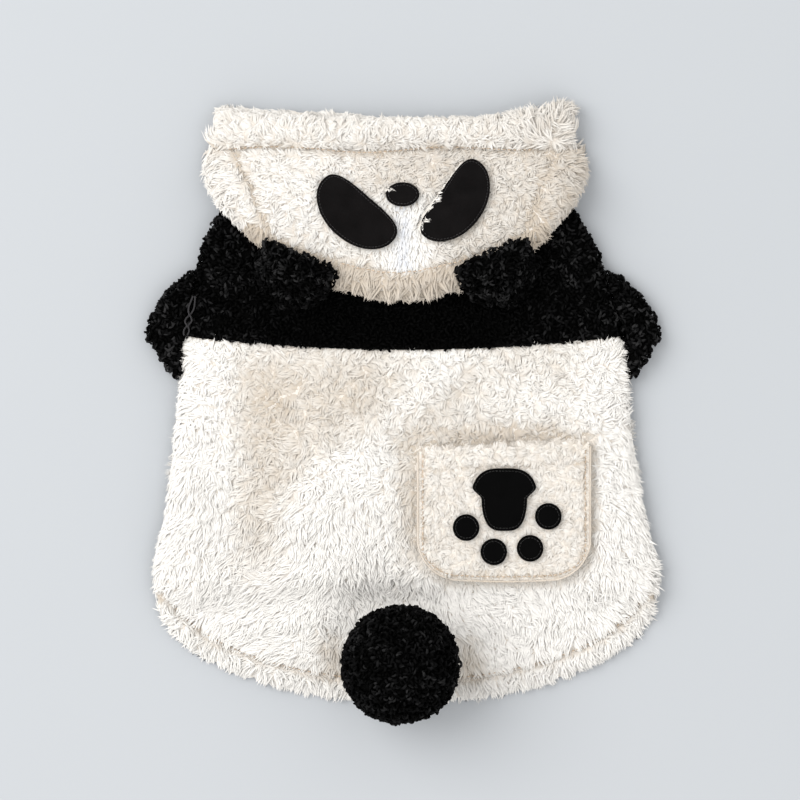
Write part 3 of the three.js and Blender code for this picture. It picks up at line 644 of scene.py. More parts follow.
class Nodes:
    def __init__(self, name, base, roughness, sheen=0.0, specular=0.3):
        self.material = bpy.data.materials.new(name)
        self.material.use_nodes = True
        self.tree = self.material.node_tree
        self.shader = self.tree.nodes["Principled BSDF"]
        self.shader.inputs["Base Color"].default_value = (*base, 1)
        self.shader.inputs["Roughness"].default_value = roughness
        self.shader.inputs["Sheen Weight"].default_value = sheen
        self.shader.inputs["Sheen Roughness"].default_value = 0.5
        self.shader.inputs["Specular IOR Level"].default_value = specular

    def add(self, kind, settings, values, output=0):
        node = self.tree.nodes.new(kind)
        for key, value in settings.items():
            if key == "stops":
                for i, (place, colour) in enumerate(value):
                    stop = node.color_ramp.elements[i] if i < 2 else node.color_ramp.elements.new(place)
                    stop.position, stop.color = place, (*colour, 1)
            else:
                setattr(node, key, value)
        for key, value in values.items():
            if isinstance(value, Sum):
                self.tree.links.new(value.socket, node.inputs[key])
            else:
                node.inputs[key].default_value = value
        return Sum(self, node.outputs[output])

    def place(self):
        return self.add("ShaderNodeTexCoord", {}, {}, "Object")

    def attribute(self, name):
        return self.add("ShaderNodeAttribute", {"attribute_name": name}, {}, "Fac")

    def noise(self, scale, detail=3.0, roughness=0.5):
        values = {"Vector": self.place(), "Scale": scale, "Detail": detail, "Roughness": roughness}
        return self.add("ShaderNodeTexNoise", {}, values, "Fac")

    def ramp(self, share, stops):
        return self.add("ShaderNodeValToRGB", {"stops": stops}, {0: share})

    def feed(self, socket, value):
        self.tree.links.new(value.socket, self.shader.inputs[socket])

    def coat(self, colour, roughness, height, strength, distance):
        self.feed("Base Color", colour)
        self.feed("Roughness", roughness)
        values = {"Height": height, "Strength": strength, "Distance": distance}
        self.feed("Normal", self.add("ShaderNodeBump", {}, values))
        return self.material


def whitePileMaterial(name, root, mid, tip, cool):
    # Darker and warm at the roots, a painted shade deep in the pile, pale at the tips, in slow patches over
    # the cloth
    n = Nodes(name, mid, 0.92, sheen=0.15, specular=0.1)
    patch = n.noise(22, 3)
    share = n.attribute("tip") * 0.09 + n.attribute("tone") * 0.425 + patch * 0.15 - 0.045
    stops = [(0.01, root), (0.75, cool), (0.2, mid), (0.4, tip), (0.57, tip)]
    return n.coat(n.ramp(share, stops), 0.86 + 0.1 * patch, n.noise(1600, 2, 0.6), 0.25, 0.0004)


def whiteClothMaterial(name, low, high):
    n = Nodes(name, high, 0.95, sheen=0.2, specular=0.1)
    colour = n.ramp(n.noise(35, 4), [(0.3, low), (0.7, high)])
    return n.coat(colour, 0.9 + 0.08 * n.noise(300), n.noise(420, 4, 0.65), 0.9, 0.002)


def blackPileMaterial(name, dark, middle, light):
    n = Nodes(name, dark, 0.8, sheen=0.0, specular=0.04)
    share = n.attribute("tip") * 0.15 + n.attribute("tone") * 0.8 + n.noise(60, 2) * 0.3 - 0.2
    # the light end is a painted dull highlight on the curls
    colour = n.ramp(share, [(0.1, dark), (0.9, light), (0.5, middle)])
    return n.coat(colour, 0.6 + 0.3 * n.noise(900), n.noise(2200, 2, 0.6), 0.35, 0.0004)


def blackClothMaterial(name):
    n = Nodes(name, (0.002, 0.002, 0.002), 0.95, specular=0.04)
    stops = [(0.3, (0.0008, 0.0008, 0.0008)), (0.7, (0.003, 0.003, 0.003))]
    colour = n.ramp(n.noise(300, 4), stops)
    return n.coat(colour, 0.9 + 0.08 * n.noise(200), n.noise(420, 4, 0.65), 0.9, 0.002)


def feltMaterial(name, dark, light):
    # Short fibres that lie every way, with a few pale ones that catch the light
    n = Nodes(name, dark, 0.85, sheen=0.01, specular=0.04)
    fibre = n.noise(1500, 5, 0.7)
    share = fibre * 0.6 + n.noise(90, 3) * 0.5 - 0.15
    colour = n.ramp(share, [(0.2, dark), (0.8, light)])
    return n.coat(colour, 0.78 + 0.16 * fibre, fibre, 0.5, 0.0005)


def threadMaterial(name, colour):
    n = Nodes(name, colour, 0.8, sheen=0.1)
    darker = tuple(0.75 * c for c in colour)
    twist = n.ramp(n.noise(500, 2), [(0.3, darker), (0.7, colour)])
    return n.coat(twist, 0.7 + 0.2 * n.noise(800), n.noise(2500, 2), 0.3, 0.0002)


materials = {
    "whitePile": whitePileMaterial(
        "white_pile", (0.53, 0.45, 0.36), (0.655, 0.613, 0.56), (0.875, 0.862, 0.838), (0.76, 0.79, 0.85)
    ),
    "whiteCloth": whiteClothMaterial("white_cloth", (0.80, 0.735, 0.66), (0.87, 0.825, 0.77)),
    # the pocket's rolled edge, darker than the cloth: painted shade along its crease
    "shadedEdgeCloth": whiteClothMaterial("shaded_edge_cloth", (0.62, 0.54, 0.45), (0.72, 0.655, 0.58)),
    "blackPile": blackPileMaterial(
        "black_pile", (0.0004, 0.0004, 0.0004), (0.004, 0.004, 0.0043), (0.026, 0.026, 0.027)
    ),
    "blackCloth": blackClothMaterial("black_cloth"),
    "faceFelt": feltMaterial("black_felt", (0.0028, 0.0025, 0.0026), (0.0095, 0.0084, 0.0088)),
    "pawFelt": feltMaterial("deep_black_felt", (0.0005, 0.0005, 0.0006), (0.0021, 0.0021, 0.0023)),
    "beigeThread": threadMaterial("beige_thread", (0.68, 0.53, 0.39)),
    "twistThread": threadMaterial("dull_black_thread", (0.024, 0.023, 0.026)),
    "blackThread": threadMaterial("black_thread", (0.013, 0.012, 0.013)),
    "pawThread": threadMaterial("deep_black_thread", (0.0045, 0.0045, 0.0048)),
}
print("materials done")


# Cloth of the body, with the pile that grows on it
whitePile = {"depth": 4.0, "perArea": 0.8, "tuft": 4.2, "draw": 0.5, "swell": 0.4, "lift": 1.2}
sherpa = {"length": 4.7, "lean": 50, "bend": 60, "width": 2.15, "swirl": 1.3, "loose": 0.25, "swell": 0.7}
combed = {"length": 7.6, "lean": 60, "bend": 32, "width": 1.8, "swirl": 0.45, "loose": 0.14, "swell": 0.12}
bouclePile = {
    "depth": 2.9, "perArea": 0.22, "radius": 1.3, "rise": 0.8, "drift": 2.0, "width": 1.75,
    "clump": 5.0, "knob": 1.7, "shine": 0.75,
}
# Painted shade on the back: in its hollows and folds, above the pocket's mouth, beside the pocket and round
# the tail. Painted light, with a negative strength, along the left edge towards the lamp. Over the middle a
# warmer tone, partly the pile's own colour and partly painted shade.
shadeAndTonePatches = [  # x, y, half breadths and strength of the painted patches on the back
    (-40, 10, 58, 32, 0.4),
    (-72, -54, 32, 34, 0.24),
    (72, 14, 46, 24, 0.16),
    (-122, 10, 24, 80, -0.4),
    (58, -14, 50, 7, 0.6),
    (3, -54, 6, 34, 0.3),
    (110, -60, 5, 36, 0.2),
    (-118, -128, 14, 10, 0.15),
    (-40, -142, 9, 16, 0.6),
    (38, -142, 9, 16, 0.6),
]


def blendedStyle(low, high, share):  # between two styles, root by root
    style = {key: mix(low[key], high[key], share) for key in low}
    for key in ("swirl", "loose"):
        style[key] = style[key][:, None]
    return {**whitePile, **style}


def shadeAndTone(x, y):  # the sum of the patches: painted shade where positive, painted light where negative
    return sum(k * hump(np.hypot((x - x0) / bx, (y - y0) / by), 1) for x0, y0, bx, by, k in shadeAndTonePatches)


def aroundBody(across):  # q from the belly seam on one side to that on the other
    turn = np.linspace(1, 2, 8)[1:]
    side = np.concatenate([turn, [2.4, 3]])
    return np.concatenate([-side[::-1], np.linspace(-1, 1, across), side])


def backGrid(depth, across, rows):
    # Rows run from the floor round the hem's edge and up the back to the yoke's seam
    q = aroundBody(across)
    hem = hemY(q) + 0.75 * depth / hemSlope(q)
    top = bodySeamY(q) - 0.2
    y = mix(hem[None], top[None], np.linspace(0, 1, rows)[:, None] ** 1.25)
    grid = bodySkin(q[None], y, depth)
    turn = np.radians([90, 60, 30])[:, None]
    edge = np.repeat(grid[:1], 3, axis=0)
    edge[..., 1] -= 1.6 * np.sin(turn) / hemSlope(q)
    edge[..., 2] = mix(garment["floor"], edge[..., 2], np.cos(turn))
    return np.concatenate([edge, grid])


def fromHemAt(x, y):  # distance in from the hem, and how far out, as a share
    out = (x - readColumn("centre", y)) / (readColumn("half", y) - body["foldRadius"])
    q = np.clip(out, -1, 1)
    return (y - hemY(q)) * hemSlope(q), out


def combOut(at, centreY, strength):  # away from a point on the back, with slow swirls
    x, y = at[:, 0], at[:, 1] - centreY
    turn = np.arctan2(y, x) + strength * waves(at[:, 0], at[:, 1], 95, 21)
    turn = turn + 0.7 * strength * waves(at[:, 0], at[:, 1], 36, 22)
    return stack(np.cos(turn), np.sin(turn), 0)


backLook = {  # how far locks are shortened, darkened with painted shade or paled, and over what breadth
    "stitchBreadth": 2.1, "stitchShort": 0.7, "stitchShade": 0.85, "pocketBreadth": 3.0,
    "pocketShort": 0.6, "pocketShade": 0.4, "seamBreadth": 4, "seamShort": 0.25, "edgeReach": 8,
    "edgeBreadth": 6, "edgeShort": 0.42, "foldShading": 0.1, "combedPale": 0.25, "splitY": -50,
}


def makeBack():
    look = backLook
    grid = facingOut(backGrid(whitePile["depth"], 57, 70))
    cloth = standIn("back", "back_cloth", grid, "whiteCloth", thickness=0.6)

    def bare(x, y, z):  # clear of the pocket and of the floor
        return (pocketInside(x, y) < 4) & (z > 1.2)

    fur = scatter(grid[:, 2:-2], whitePile["perArea"], 31, bare)
    x, y, _ = fur["at"].T
    fromHem, out = fromHemAt(x, y)
    lower, sides = smooth((-8 - y) / 75), smooth((np.abs(out) - 0.8) / 0.25)
    share = np.clip(0.15 + 0.85 * lower + 0.5 * sides, 0, 1)
    share = np.clip(share + 0.25 * waves(x, y, 60, 23) * share, 0, 1)
    stitched = hump(fromHem - body["hemDepth"], look["stitchBreadth"])
    nearPocket = hump(np.maximum(-pocketInside(x, y) - 1, 0), look["pocketBreadth"])
    nearPocket = nearPocket * (y < pocketMouthY(x) + 5)
    nearSeam = smooth(1 - (bodySeamY(np.clip(out, -1, 1)) - y) / look["seamBreadth"])
    hemBand = smooth((body["hemDepth"] - fromHem) / 4)[:, None]
    outHem = stack(0.5 * out * np.abs(out), -1 + 0.4 * out ** 2, 0)
    comb = mix(combOut(fur["at"], 60, 0.55), outHem, hemBand)
    comb[:, 1] -= 1.5 * nearSeam
    length = (1 - look["stitchShort"] * stitched) * (1 - look["pocketShort"] * nearPocket)
    length = length * (1 - look["seamShort"] * nearSeam)
    length *= 1 - look["edgeShort"] * smooth((look["edgeReach"] - fromHem) / look["edgeBreadth"])
    # Painted shade along the hem's stitching, beside the pocket and in the patches; the fold term adds
    # painted light on fold ridges and painted shade in fold hollows
    shade = shadeAndTone(x, y) + look["stitchShade"] * stitched + look["pocketShade"] * nearPocket
    shade = shade - look["foldShading"] * foldsAt(x, y) - look["combedPale"] * share
    style = blendedStyle(sherpa, combed, share)
    locks = hairPath(fur, comb, style, 41, length=length, shade=shade)
    for height, level in (("upper", y > look["splitY"]), ("lower", y <= look["splitY"])):
        for side, there in (("left", x < 0), ("right", x >= 0)):
            part = thin(locks, level & there)
            lockPiece(f"back_pile_{height}_{side}", "whitePile", **part)


def makeYoke():
    q = aroundBody(45)
    y = mix(bodySeamY(q)[None] + 0.2, garment["neckY"], np.linspace(0, 1, 26)[:, None])
    grid = facingOut(bodySkin(q[None], y, bouclePile["depth"]))
    cloth = standIn("yoke", "yoke_cloth", grid, "blackCloth", thickness=1.2)

    def bare(x, y, z):  # clear of the hood and of the floor
        return (underHood(x, y) < 10) & (z > 1.5)

    fur = scatter(grid[:, 2:-2], bouclePile["perArea"], 51, bare)
    # painted highlights towards the sides, and painted shadow of the hood over the middle
    shine = mix(0.25, 1.05, smooth((np.abs(fur["at"][:, 0]) - 45) / 50))
    pile = growCurls("yoke_pile", fur, {"shine": shine}, 52)


def underHood(x, y):  # distance in from the hood's outline
    f = np.clip((x - hoodCentre(y)) / hood["half"], -0.999, 0.999)
    return np.minimum(y - hoodRearY(f, 0), hood["half"] - np.abs(x - hoodCentre(y)))


def makeUnderside():  # the two belly panels and the hood's hidden layers, plain and pressed flat
    def edge(side, y):
        return readColumn("centre", y) + side * (body["flapShare"] * readColumn("half", y) - 0.8)

    u = np.linspace(-1, 1, 25)[None]
    v = np.linspace(0, 1, 21)[:, None]
    seam = body["seamY"] + body["seamRise"] * (u * body["flapShare"]) ** 2
    bellyHem = mix(-86, body["cornerY"] + body["hemRise"], u * u)
    panels = {
        "belly": (bellyHem, seam - 0.2, "white", (0.182, 0.128)),
        "chest": (seam + 0.2, garment["neckY"] + 0 * u, "black", (0.160, 0.081)),
    }
    for name, (low, high, colour, flat) in panels.items():
        y = mix(low, high, v)
        x = mix(edge(-1, y), edge(1, y), (u + 1) / 2)
        grid = facingOut(stack(x, y, 1.8 + 0.4 * waves(x, y, 30, 5)))
        cloth = standIn(name, f"{name}_cloth", grid, f"{colour}Cloth", thickness=1.2)
    inset = 7.6
    y = np.linspace(149.5, 70.5, 30)[:, None] + 0 * u
    fullness = np.clip((hood["cheekY"] - y) / (hood["cheekY"] - hood["rearY"] - inset), 0, 1)
    reach = np.maximum((1 - fullness ** hood["power"]) ** (1 / hood["power"]), 0.05)
    x = hoodCentre(y) + (hood["half"] - inset) * reach * u
    grid = facingOut(stack(x, y, climb(y) + 3.4 * rounded(1.02 - np.abs(u), 0.12)))
    cloth = standIn("hood_under", "hood_under_cloth", grid, "whiteCloth", thickness=1.2)


# The pocket, with its mouth towards the yoke
pocket = {
    "x": 58.5, "half": 50, "topY": -20.5, "tilt": 2.5, "bottomY": -99.5, "corner": 22, "sag": 3,
    "thickness": 3.8, "clear": 0.8, "mouth": 1.4, "hem": 12, "hemHeight": 0.9, "pile": 2.2,
    "stitchIn": 3.0, "perArea": 0.85, "stitchShort": 0.65, "warm": 0.16, "lineShade": 0.5,
    "hemShade": 0.25,
}


def pocketMouthY(x):  # a straight line, a little tilted
    return pocket["topY"] + pocket["tilt"] * (x - pocket["x"]) / pocket["half"]


def pocketBottomY(x):  # rounded corners and a slight sag
    away = np.clip(np.abs(x - pocket["x"]) - (pocket["half"] - pocket["corner"]), 0, pocket["corner"])
    rise = pocket["corner"] - np.sqrt(pocket["corner"] ** 2 - away ** 2)
    return pocket["bottomY"] + rise + pocket["sag"] * ((x - pocket["x"]) / pocket["half"]) ** 2


def pocketInside(x, y):  # distance in from the pocket's edge, but not from its mouth
    r = pocket["corner"]
    across = np.abs(x - pocket["x"]) - (pocket["half"] - r)
    down = pocket["bottomY"] + r + 1 - y
    corner = r - np.hypot(np.maximum(across, 0), np.maximum(down, 0))
    inside = np.where((across > 0) & (down > 0), corner, np.minimum(r - across, r - down))
    return np.minimum(inside, pocketMouthY(x) - y + 6)


def pocketUnder(x, y):  # on the back, and standing off it in the middle of the mouth
    across = (x - pocket["x"]) / pocket["half"]
    standOff = np.maximum(0, 1 - across ** 2) * hump(pocketMouthY(x) - y, 22)
    return backTop(x, y) + pocket["clear"] + pocket["mouth"] * standOff


def pocketTop(x, y):  # its underside and thickness, thicker along the mouth's hem
    hem = pocket["hemHeight"] * smooth((pocket["hem"] - pocketMouthY(x) + y) / 2)
    return pocketUnder(x, y) + pocket["thickness"] + hem


def makePocket():
    u, v = np.meshgrid(np.sin(np.linspace(-1, 1, 61) * math.pi / 2), np.linspace(0, 1, 50))
    x = pocket["x"] + (pocket["half"] - 1) * u
    y = mix(pocketMouthY(x) - 1, pocketBottomY(x) + 1, v)
    drawnIn = 0.7 * hump(pocketInside(x, y) - 3, 1.2)
    grid = facingOut(stack(x, y, pocketTop(x, y) - pocket["pile"] - drawnIn))
    whole = skirted(grid, lambda x, y: pocketUnder(x, y) - 2.5)
    cloth = standIn("pocket", "pocket_cloth", whole, "whiteCloth", thickness=1.2)
    fur = scatter(grid, pocket["perArea"], 61, lambda x, y, z: outsideFelt(pawShapes, x, y) > -1)
    x, y, _ = fur["at"].T
    felted = outsideFelt(pawShapes, x, y)
    across = x - pocket["x"]
    inside = np.minimum(pocketInside(x, y), pocket["half"] - np.abs(across))
    fromMouth = pocketMouthY(x) - y
    atSide = np.sign(across) * (np.abs(across) > pocket["half"] - 12)
    overEdge = 0.8 * smooth(1 - inside / 2.5)[:, None] * stack(atSide, 0 * x - (y < -80), 0)
    overMouth = stack(0, 0.9, 0) * smooth(1 - fromMouth / 2.5)[:, None]
    fur["normal"] = unit(fur["normal"] + overEdge + overMouth)
    stitched = smooth(1.4 - inside / pocket["stitchIn"])
    stitched = stitched + 0.5 * hump(fromMouth - pocket["hem"], 1.2)
    comb = stack(0.5 * waves(x, y, 40, 3), -0.5 + 1.5 * smooth(1 - fromMouth / 4), 0)
    style = {**whitePile, **sherpa, "tuft": 3.8, "length": 4.0, "width": 2.0, "lean": 52, "swirl": 1.1}
    length = (0.7 + 0.3 * smooth(felted / 3)) * (1 - pocket["stitchShort"] * np.minimum(stitched, 1))
    length = length * (1 - 0.2 * smooth(1 - fromMouth / 3))
    # Painted shade in the groove of the stitching inside the edge and along the mouth's hem, on top of a
    # warmer tone over the whole pocket
    shade = pocket["warm"] + pocket["lineShade"] * hump(inside - pocket["stitchIn"], 0.9)
    shade = shade + pocket["hemShade"] * hump(fromMouth - pocket["hem"], 1.4)
    pile = growHair("pocket_pile", fur, comb, style, 62, length=length, shade=shade)
    # a darker rolled edge: painted shade along the pocket's edge
    edge = facingOut(beadAlong(pocketPath(0.2, 2.1), 1.2, 8))
    roll = gridPiece("pocket_edge", edge, "shadedEdgeCloth", ring=True)


def pocketPath(inset, drop):  # down the left side, along the bottom and up the right side
    reach = pocket["half"] - inset
    x = pocket["x"] + reach * np.sin(np.linspace(-0.5, 0.5, 160) * math.pi)
    y = pocketBottomY(x) + inset
    up = np.linspace(0, 1, 40)[1:-1]
    left = stack(x[0] + 0 * up, mix(pocketMouthY(x[0]) - 1, y[0], up))
    right = stack(x[-1] + 0 * up, mix(y[-1], pocketMouthY(x[-1]) - 1, up))
    path = np.concatenate([left, stack(x, y), right])
    return stack(path[:, 0], path[:, 1], pocketTop(path[:, 0], path[:, 1]) - drop)


def beadAlong(line, thickness, sides):  # a round bead along a line, closed at its ends
    along = unit(np.gradient(line, axis=0))
    side = unit(np.cross(along, np.array([0, 0, 1.0])))
    other = np.cross(side, along)
    turn = np.linspace(0, 2 * math.pi, sides, endpoint=False)[None, :, None]
    radius = np.full(len(line), thickness / 2)
    radius[[0, -1]] = 0.02
    spoke = np.cos(turn) * side[:, None] + np.sin(turn) * other[:, None]
    return line[:, None] + spoke * radius[:, None, None]


# Sleeves: flattened tubes from the side of the body to the cuff
sleeve = {
    "topY": 82, "bottomY": 42, "cuffX": 150.5, "cuffY": 46, "bulgeX": 141, "bulgeY": 71,
    "cuffLowY": 16, "height": 15, "cuffHeight": 13.4, "edgeRadius": 7, "clear": -0.6,
}


def flatRing(a, width, height, radius, depth):
    # a from 0 to 4 runs along the top, round one end, back along the floor, round the other
    floor = garment["floor"]
    flat = width / 2 - radius
    zone = np.floor(a)
    t = a - zone
    end = flat + (radius - depth) * np.sin(t * math.pi)
    up = 0.5 + 0.5 * np.cos(t * math.pi)
    zones = [zone == 0, zone == 1, zone == 2]
    across = np.select(zones, [mix(-flat, flat, t), end, mix(flat, -flat, t)], -end)
    level = np.select(zones, [1, up, 0], 1 - up)
    return across, mix(floor, height - depth, level)


def bodyEdge(side, y):  # the body's outline on one side
    return readColumn("centre", y) + side * readColumn("half", y)


def sleeveSkin(side, a, p, depth, closing, over):
    # closing from 0 to 1 draws the two layers together, and over moves them past the cuff
    innerY = mix(sleeve["bottomY"], sleeve["cuffLowY"], p)
    inner = stack(bodyEdge(side, innerY) + side * sleeve["clear"], innerY)
    startX = bodyEdge(side, np.array(float(sleeve["topY"]))) + side * sleeve["clear"]
    start = np.array([startX, sleeve["topY"]])
    control = np.array([side * sleeve["bulgeX"], sleeve["bulgeY"]])
    finish = np.array([side * sleeve["cuffX"], sleeve["cuffY"]])
    t = p[..., None]
    outer = mix(mix(start, control, t), mix(control, finish, t), t)
    width = np.linalg.norm(outer - inner, axis=-1)
    height = mix(sleeve["height"], sleeve["cuffHeight"], p)
    along, z = flatRing(a, width, height, sleeve["edgeRadius"], depth)
    z = mix(z, height / 2, closing)
    share = 0.5 + along / width * (1 - 0.2 * closing)
    axis = unit(np.array([side * 0.8, -0.62]))
    flat = mix(inner, outer, share[..., None]) + axis * (over - depth * smooth(p * 3 - 2))[..., None]
    return stack(flat[..., 0], flat[..., 1], z)


def makeSleeve(side):
    name = "sleeve_left" if side < 0 else "sleeve_right"
    straight = 14
    p = np.concatenate([np.linspace(0, 1, straight), [1, 1, 1, 1, 0.9]])
    closing = np.concatenate([np.zeros(straight), [0.12, 0.3, 0.5, 0.64, 0.68]])
    over = np.concatenate([np.zeros(straight), [1.0, 1.8, 2.2, 1.9, 0]])
    a, p = np.meshgrid(np.linspace(0, 4, 40, endpoint=False), p)
    closing, over = closing[:, None] + 0 * a, over[:, None] + 0 * a
    grid = facingOut(sleeveSkin(side, a, p, bouclePile["depth"], closing, over))
    cloth = standIn(name, f"{name}_cloth", grid, "blackCloth", ring=True, thickness=1.0)
    closed = np.concatenate([grid, grid[:, :1]], axis=1)[:-2]
    fur = scatter(closed, bouclePile["perArea"] * 1.15, 71, lambda x, y, z: z > 1.6)
    pile = growCurls(f"{name}_pile", fur, {"shine": 1.2}, 72)


# Hood panels
hoodPile = {"length": 5.2, "lean": 52, "bend": 45, "width": 2.05, "swirl": 1.0, "loose": 0.2}
napeLocks = {"length": 6.8, "lean": 52, "bend": 34, "width": 1.8, "swirl": 0.75, "loose": 0.24}


hoodLook = {  # seams' breadths, how far locks are shortened there, darkened with painted shade or cooled
    "sideBreadth": 2.6, "earBreadth": 2.0, "browBreadth": 2.2, "middleX": 0.5,
    "middleBreadth": 13, "middleTop": 132, "seamShort": 0.5, "endShort": 0.75, "seamShade": 0.4,
    "sideShade": 0.45, "rearShade": 0.7, "farShade": 0.27, "cheekShade": 0.1, "cool": 0.85,
}


def hoodPlaces():
    # f and g of each panel: the crown before and behind the ear seam, then the sides
    earRow = hood["earSeam"]
    fine = np.linspace(0, 1, 30) * earRow
    quarter = np.sin(mix(math.asin(earRow), math.pi / 2, np.linspace(0, 1, 12)))
    places = {}
    for name, columns, rows in (("hood_face", 61, fine), ("hood_rear", 49, quarter)):
        u, g = np.meshgrid(np.linspace(-1, 1, columns), rows)
        places[name] = (u * sideSeam(g), g)
    v, g = np.meshgrid(np.linspace(0, 1, 16), np.concatenate([fine, quarter[1:]]))
    for name, side in (("hood_side_left", -1), ("hood_side_right", 1)):
        places[name] = (side * np.sin(mix(np.arcsin(sideSeam(g)), math.pi / 2, v)), g)
    return places


def makeHoodPanel(name, places):
    look, depth, earRow = hoodLook, whitePile["depth"], hood["earSeam"]
    grid = facingOut(hoodSkin(*places, depth))
    cloth = standIn(name, f"{name}_cloth", grid, "whiteCloth", thickness=1.2)

    def bare(x, y, z):  # clear of the felt and of the ears
        return (outsideFelt(faceShapes, x, y) > -1) & (insideEar(x, y) < 3)

    fur = scatter(grid, whitePile["perArea"], 81, bare)
    x, y, _ = fur["at"].T
    felted = outsideFelt(faceShapes, x, y)
    f = np.clip((x - hoodCentre(y)) / (hood["half"] - depth), -0.999, 0.999)
    g = (hood["browY"] - y) / (hood["browY"] - hoodRearY(f, depth))
    sideLine = hump((np.abs(f) - sideSeam(g)) * hood["half"], look["sideBreadth"]) * (g < earRow)
    earLine = hump((g - earRow) * 75, look["earBreadth"])
    browLine = browSeam(x, y, look["browBreadth"])
    seams = np.clip(sideLine + earLine + browLine, 0, 1)
    rear = smooth((g - earRow) * 30) * (np.abs(f) < 0.8)
    middle = hump(x - look["middleX"], look["middleBreadth"])
    middle = middle * smooth((look["middleTop"] - y) / 12) * (1 - rear)
    atEnd = smooth((np.abs(f) - 0.83) / 0.1)
    toSeam = smooth(1 - (hood["browY"] - y) / 5) * (1 - 0.45 * atEnd)
    comb = stack(f * 1.1, -0.8 - middle - rear + 2.0 * toSeam, 0)
    longer = np.maximum(rear, smooth((np.abs(f) - 0.82) / 0.12))
    style = blendedStyle(hoodPile, napeLocks, longer)
    style["swirl"] = style["swirl"] * (1 - 0.75 * middle[:, None])
    if name == "hood_rear":
        style = {**style, "tuft": 5.5, "draw": 0.85}
    length = (1 - look["seamShort"] * seams * (1 - rear)) * mix(0.75, 1, smooth(felted / 4))
    length = length * (1 - look["endShort"] * toSeam * atEnd)
    # Painted shade: in the creases of the seams, on the rear panel that turns under, and over the middle,
    # right side and cheek, away from the lamp
    sunless = look["farShade"] * smooth((x + 50) / 60) + look["cheekShade"] * smooth((x - 50) / 40)
    shade = look["seamShade"] * seams + look["sideShade"] * sideLine + look["rearShade"] * rear
    shade = shade + sunless * (1 - middle)
    looks = {"length": length, "shade": shade, "cool": look["cool"] * middle}
    pieces = [growHair(f"{name}_pile", fur, comb, style, 83, **looks)]
    if name == "hood_face":
        pieces.append(faceTufts())


# Ragged locks that lie over the edge of the felt: shape, first and last angle, and how many
overlaps = [("eye_patch_right", 1.2, 1.92, 150), ("nose", 0.82, 0.94, 14)]


def faceTufts():
    roots, combs = [], []
    rng = np.random.default_rng(85)
    for name, first, last, count in overlaps:
        shape = feltShapes[name]
        angle = mix(first, last, np.sort(rng.random(count))) * math.pi
        ox, oy = feltOutline(shape, angle)
        outward = unit(stack(ox, oy, 0))
        clump = 0.5 + 0.5 * np.sin(np.arange(count) * 2 * math.pi / 11)
        x = shape["x"] + ox + outward[:, 0] * (0.8 - 0.9 * clump)
        y = shape["y"] + oy + outward[:, 1] * (0.8 - 0.9 * clump)
        roots.append(stack(x, y, hoodTop(x, y) + 0.9))
        combs.append(-outward)
    at = np.concatenate(roots)
    fur = {"at": at, "normal": stack(0 * at[:, 0], 0, 1)}
    flatter = {"length": 3.8, "width": 1.3, "lean": 70, "bend": 25, "draw": 0.5, "swirl": 0.5}
    style = {**whitePile, **hoodPile, **flatter}
    return growHair("face_tufts", fur, np.concatenate(combs), style, 86)


# The brim: two turned layers round the face opening, seen edge on with a crease between them
brim = {
    "half": 109, "edgeHalf": 106, "frontY": 170.5, "leftRise": 4.5, "rightRise": 8, "lip": 2.5,
    "cornerFur": 0.9, "seamShade": 0.55, "farShade": 0.16,
}


def brimSkin(u, w, depth):
    # w from 0 to 1 along the top, 1 to 2 down the front with its crease, 2 to 3 back below
    p = np.where(w <= 1, w, np.where(w <= 2, 1, 3 - w))
    top = np.interp(p, [0, 0.12, 0.4, 0.75, 0.93, 1], [15, 18, 21, 20.5, 19.5, 18])
    f = np.sin(u * math.pi / 2)
    half = mix(brim["half"], brim["edgeHalf"], p) - depth
    x = hood["centre"] - 1.6 + half * f
    narrow = rounded(half * (1 - np.abs(f)) + 0.4, 9)
    down = np.clip(w - 1, 0, 1)
    floor = garment["floor"]
    height = (top - depth) * mix(0.45, 1, narrow)
    z = np.select([w <= 1, w <= 2], [height, mix(height, floor, down)], floor)
    rise = np.where(f < 0, brim["leftRise"] * f * f, brim["rightRise"] * f ** 4)
    crease = 3.2 * hump(down - 0.5, 0.13) * (w > 1)
    lipped = brim["lip"] * smooth(-3 * f) * smooth(2 * down - 0.4) * (w > 1)
    front = brim["frontY"] + rise + lipped - depth + 2.2 * np.sin(down * math.pi) - crease
    return stack(x, mix(hood["browY"] + 0.5, front, p), z)


def browWave(x):  # the brim's stitching wanders
    return 1.3 * waves(x, 0 * x, 62, 14)


def browSeam(x, y, breadth):  # 1 along the brim's stitching, fading out at its right end
    return hump(y - hood["browY"] - browWave(x), breadth) * (1 - 0.8 * smooth((x - 78) / 12))


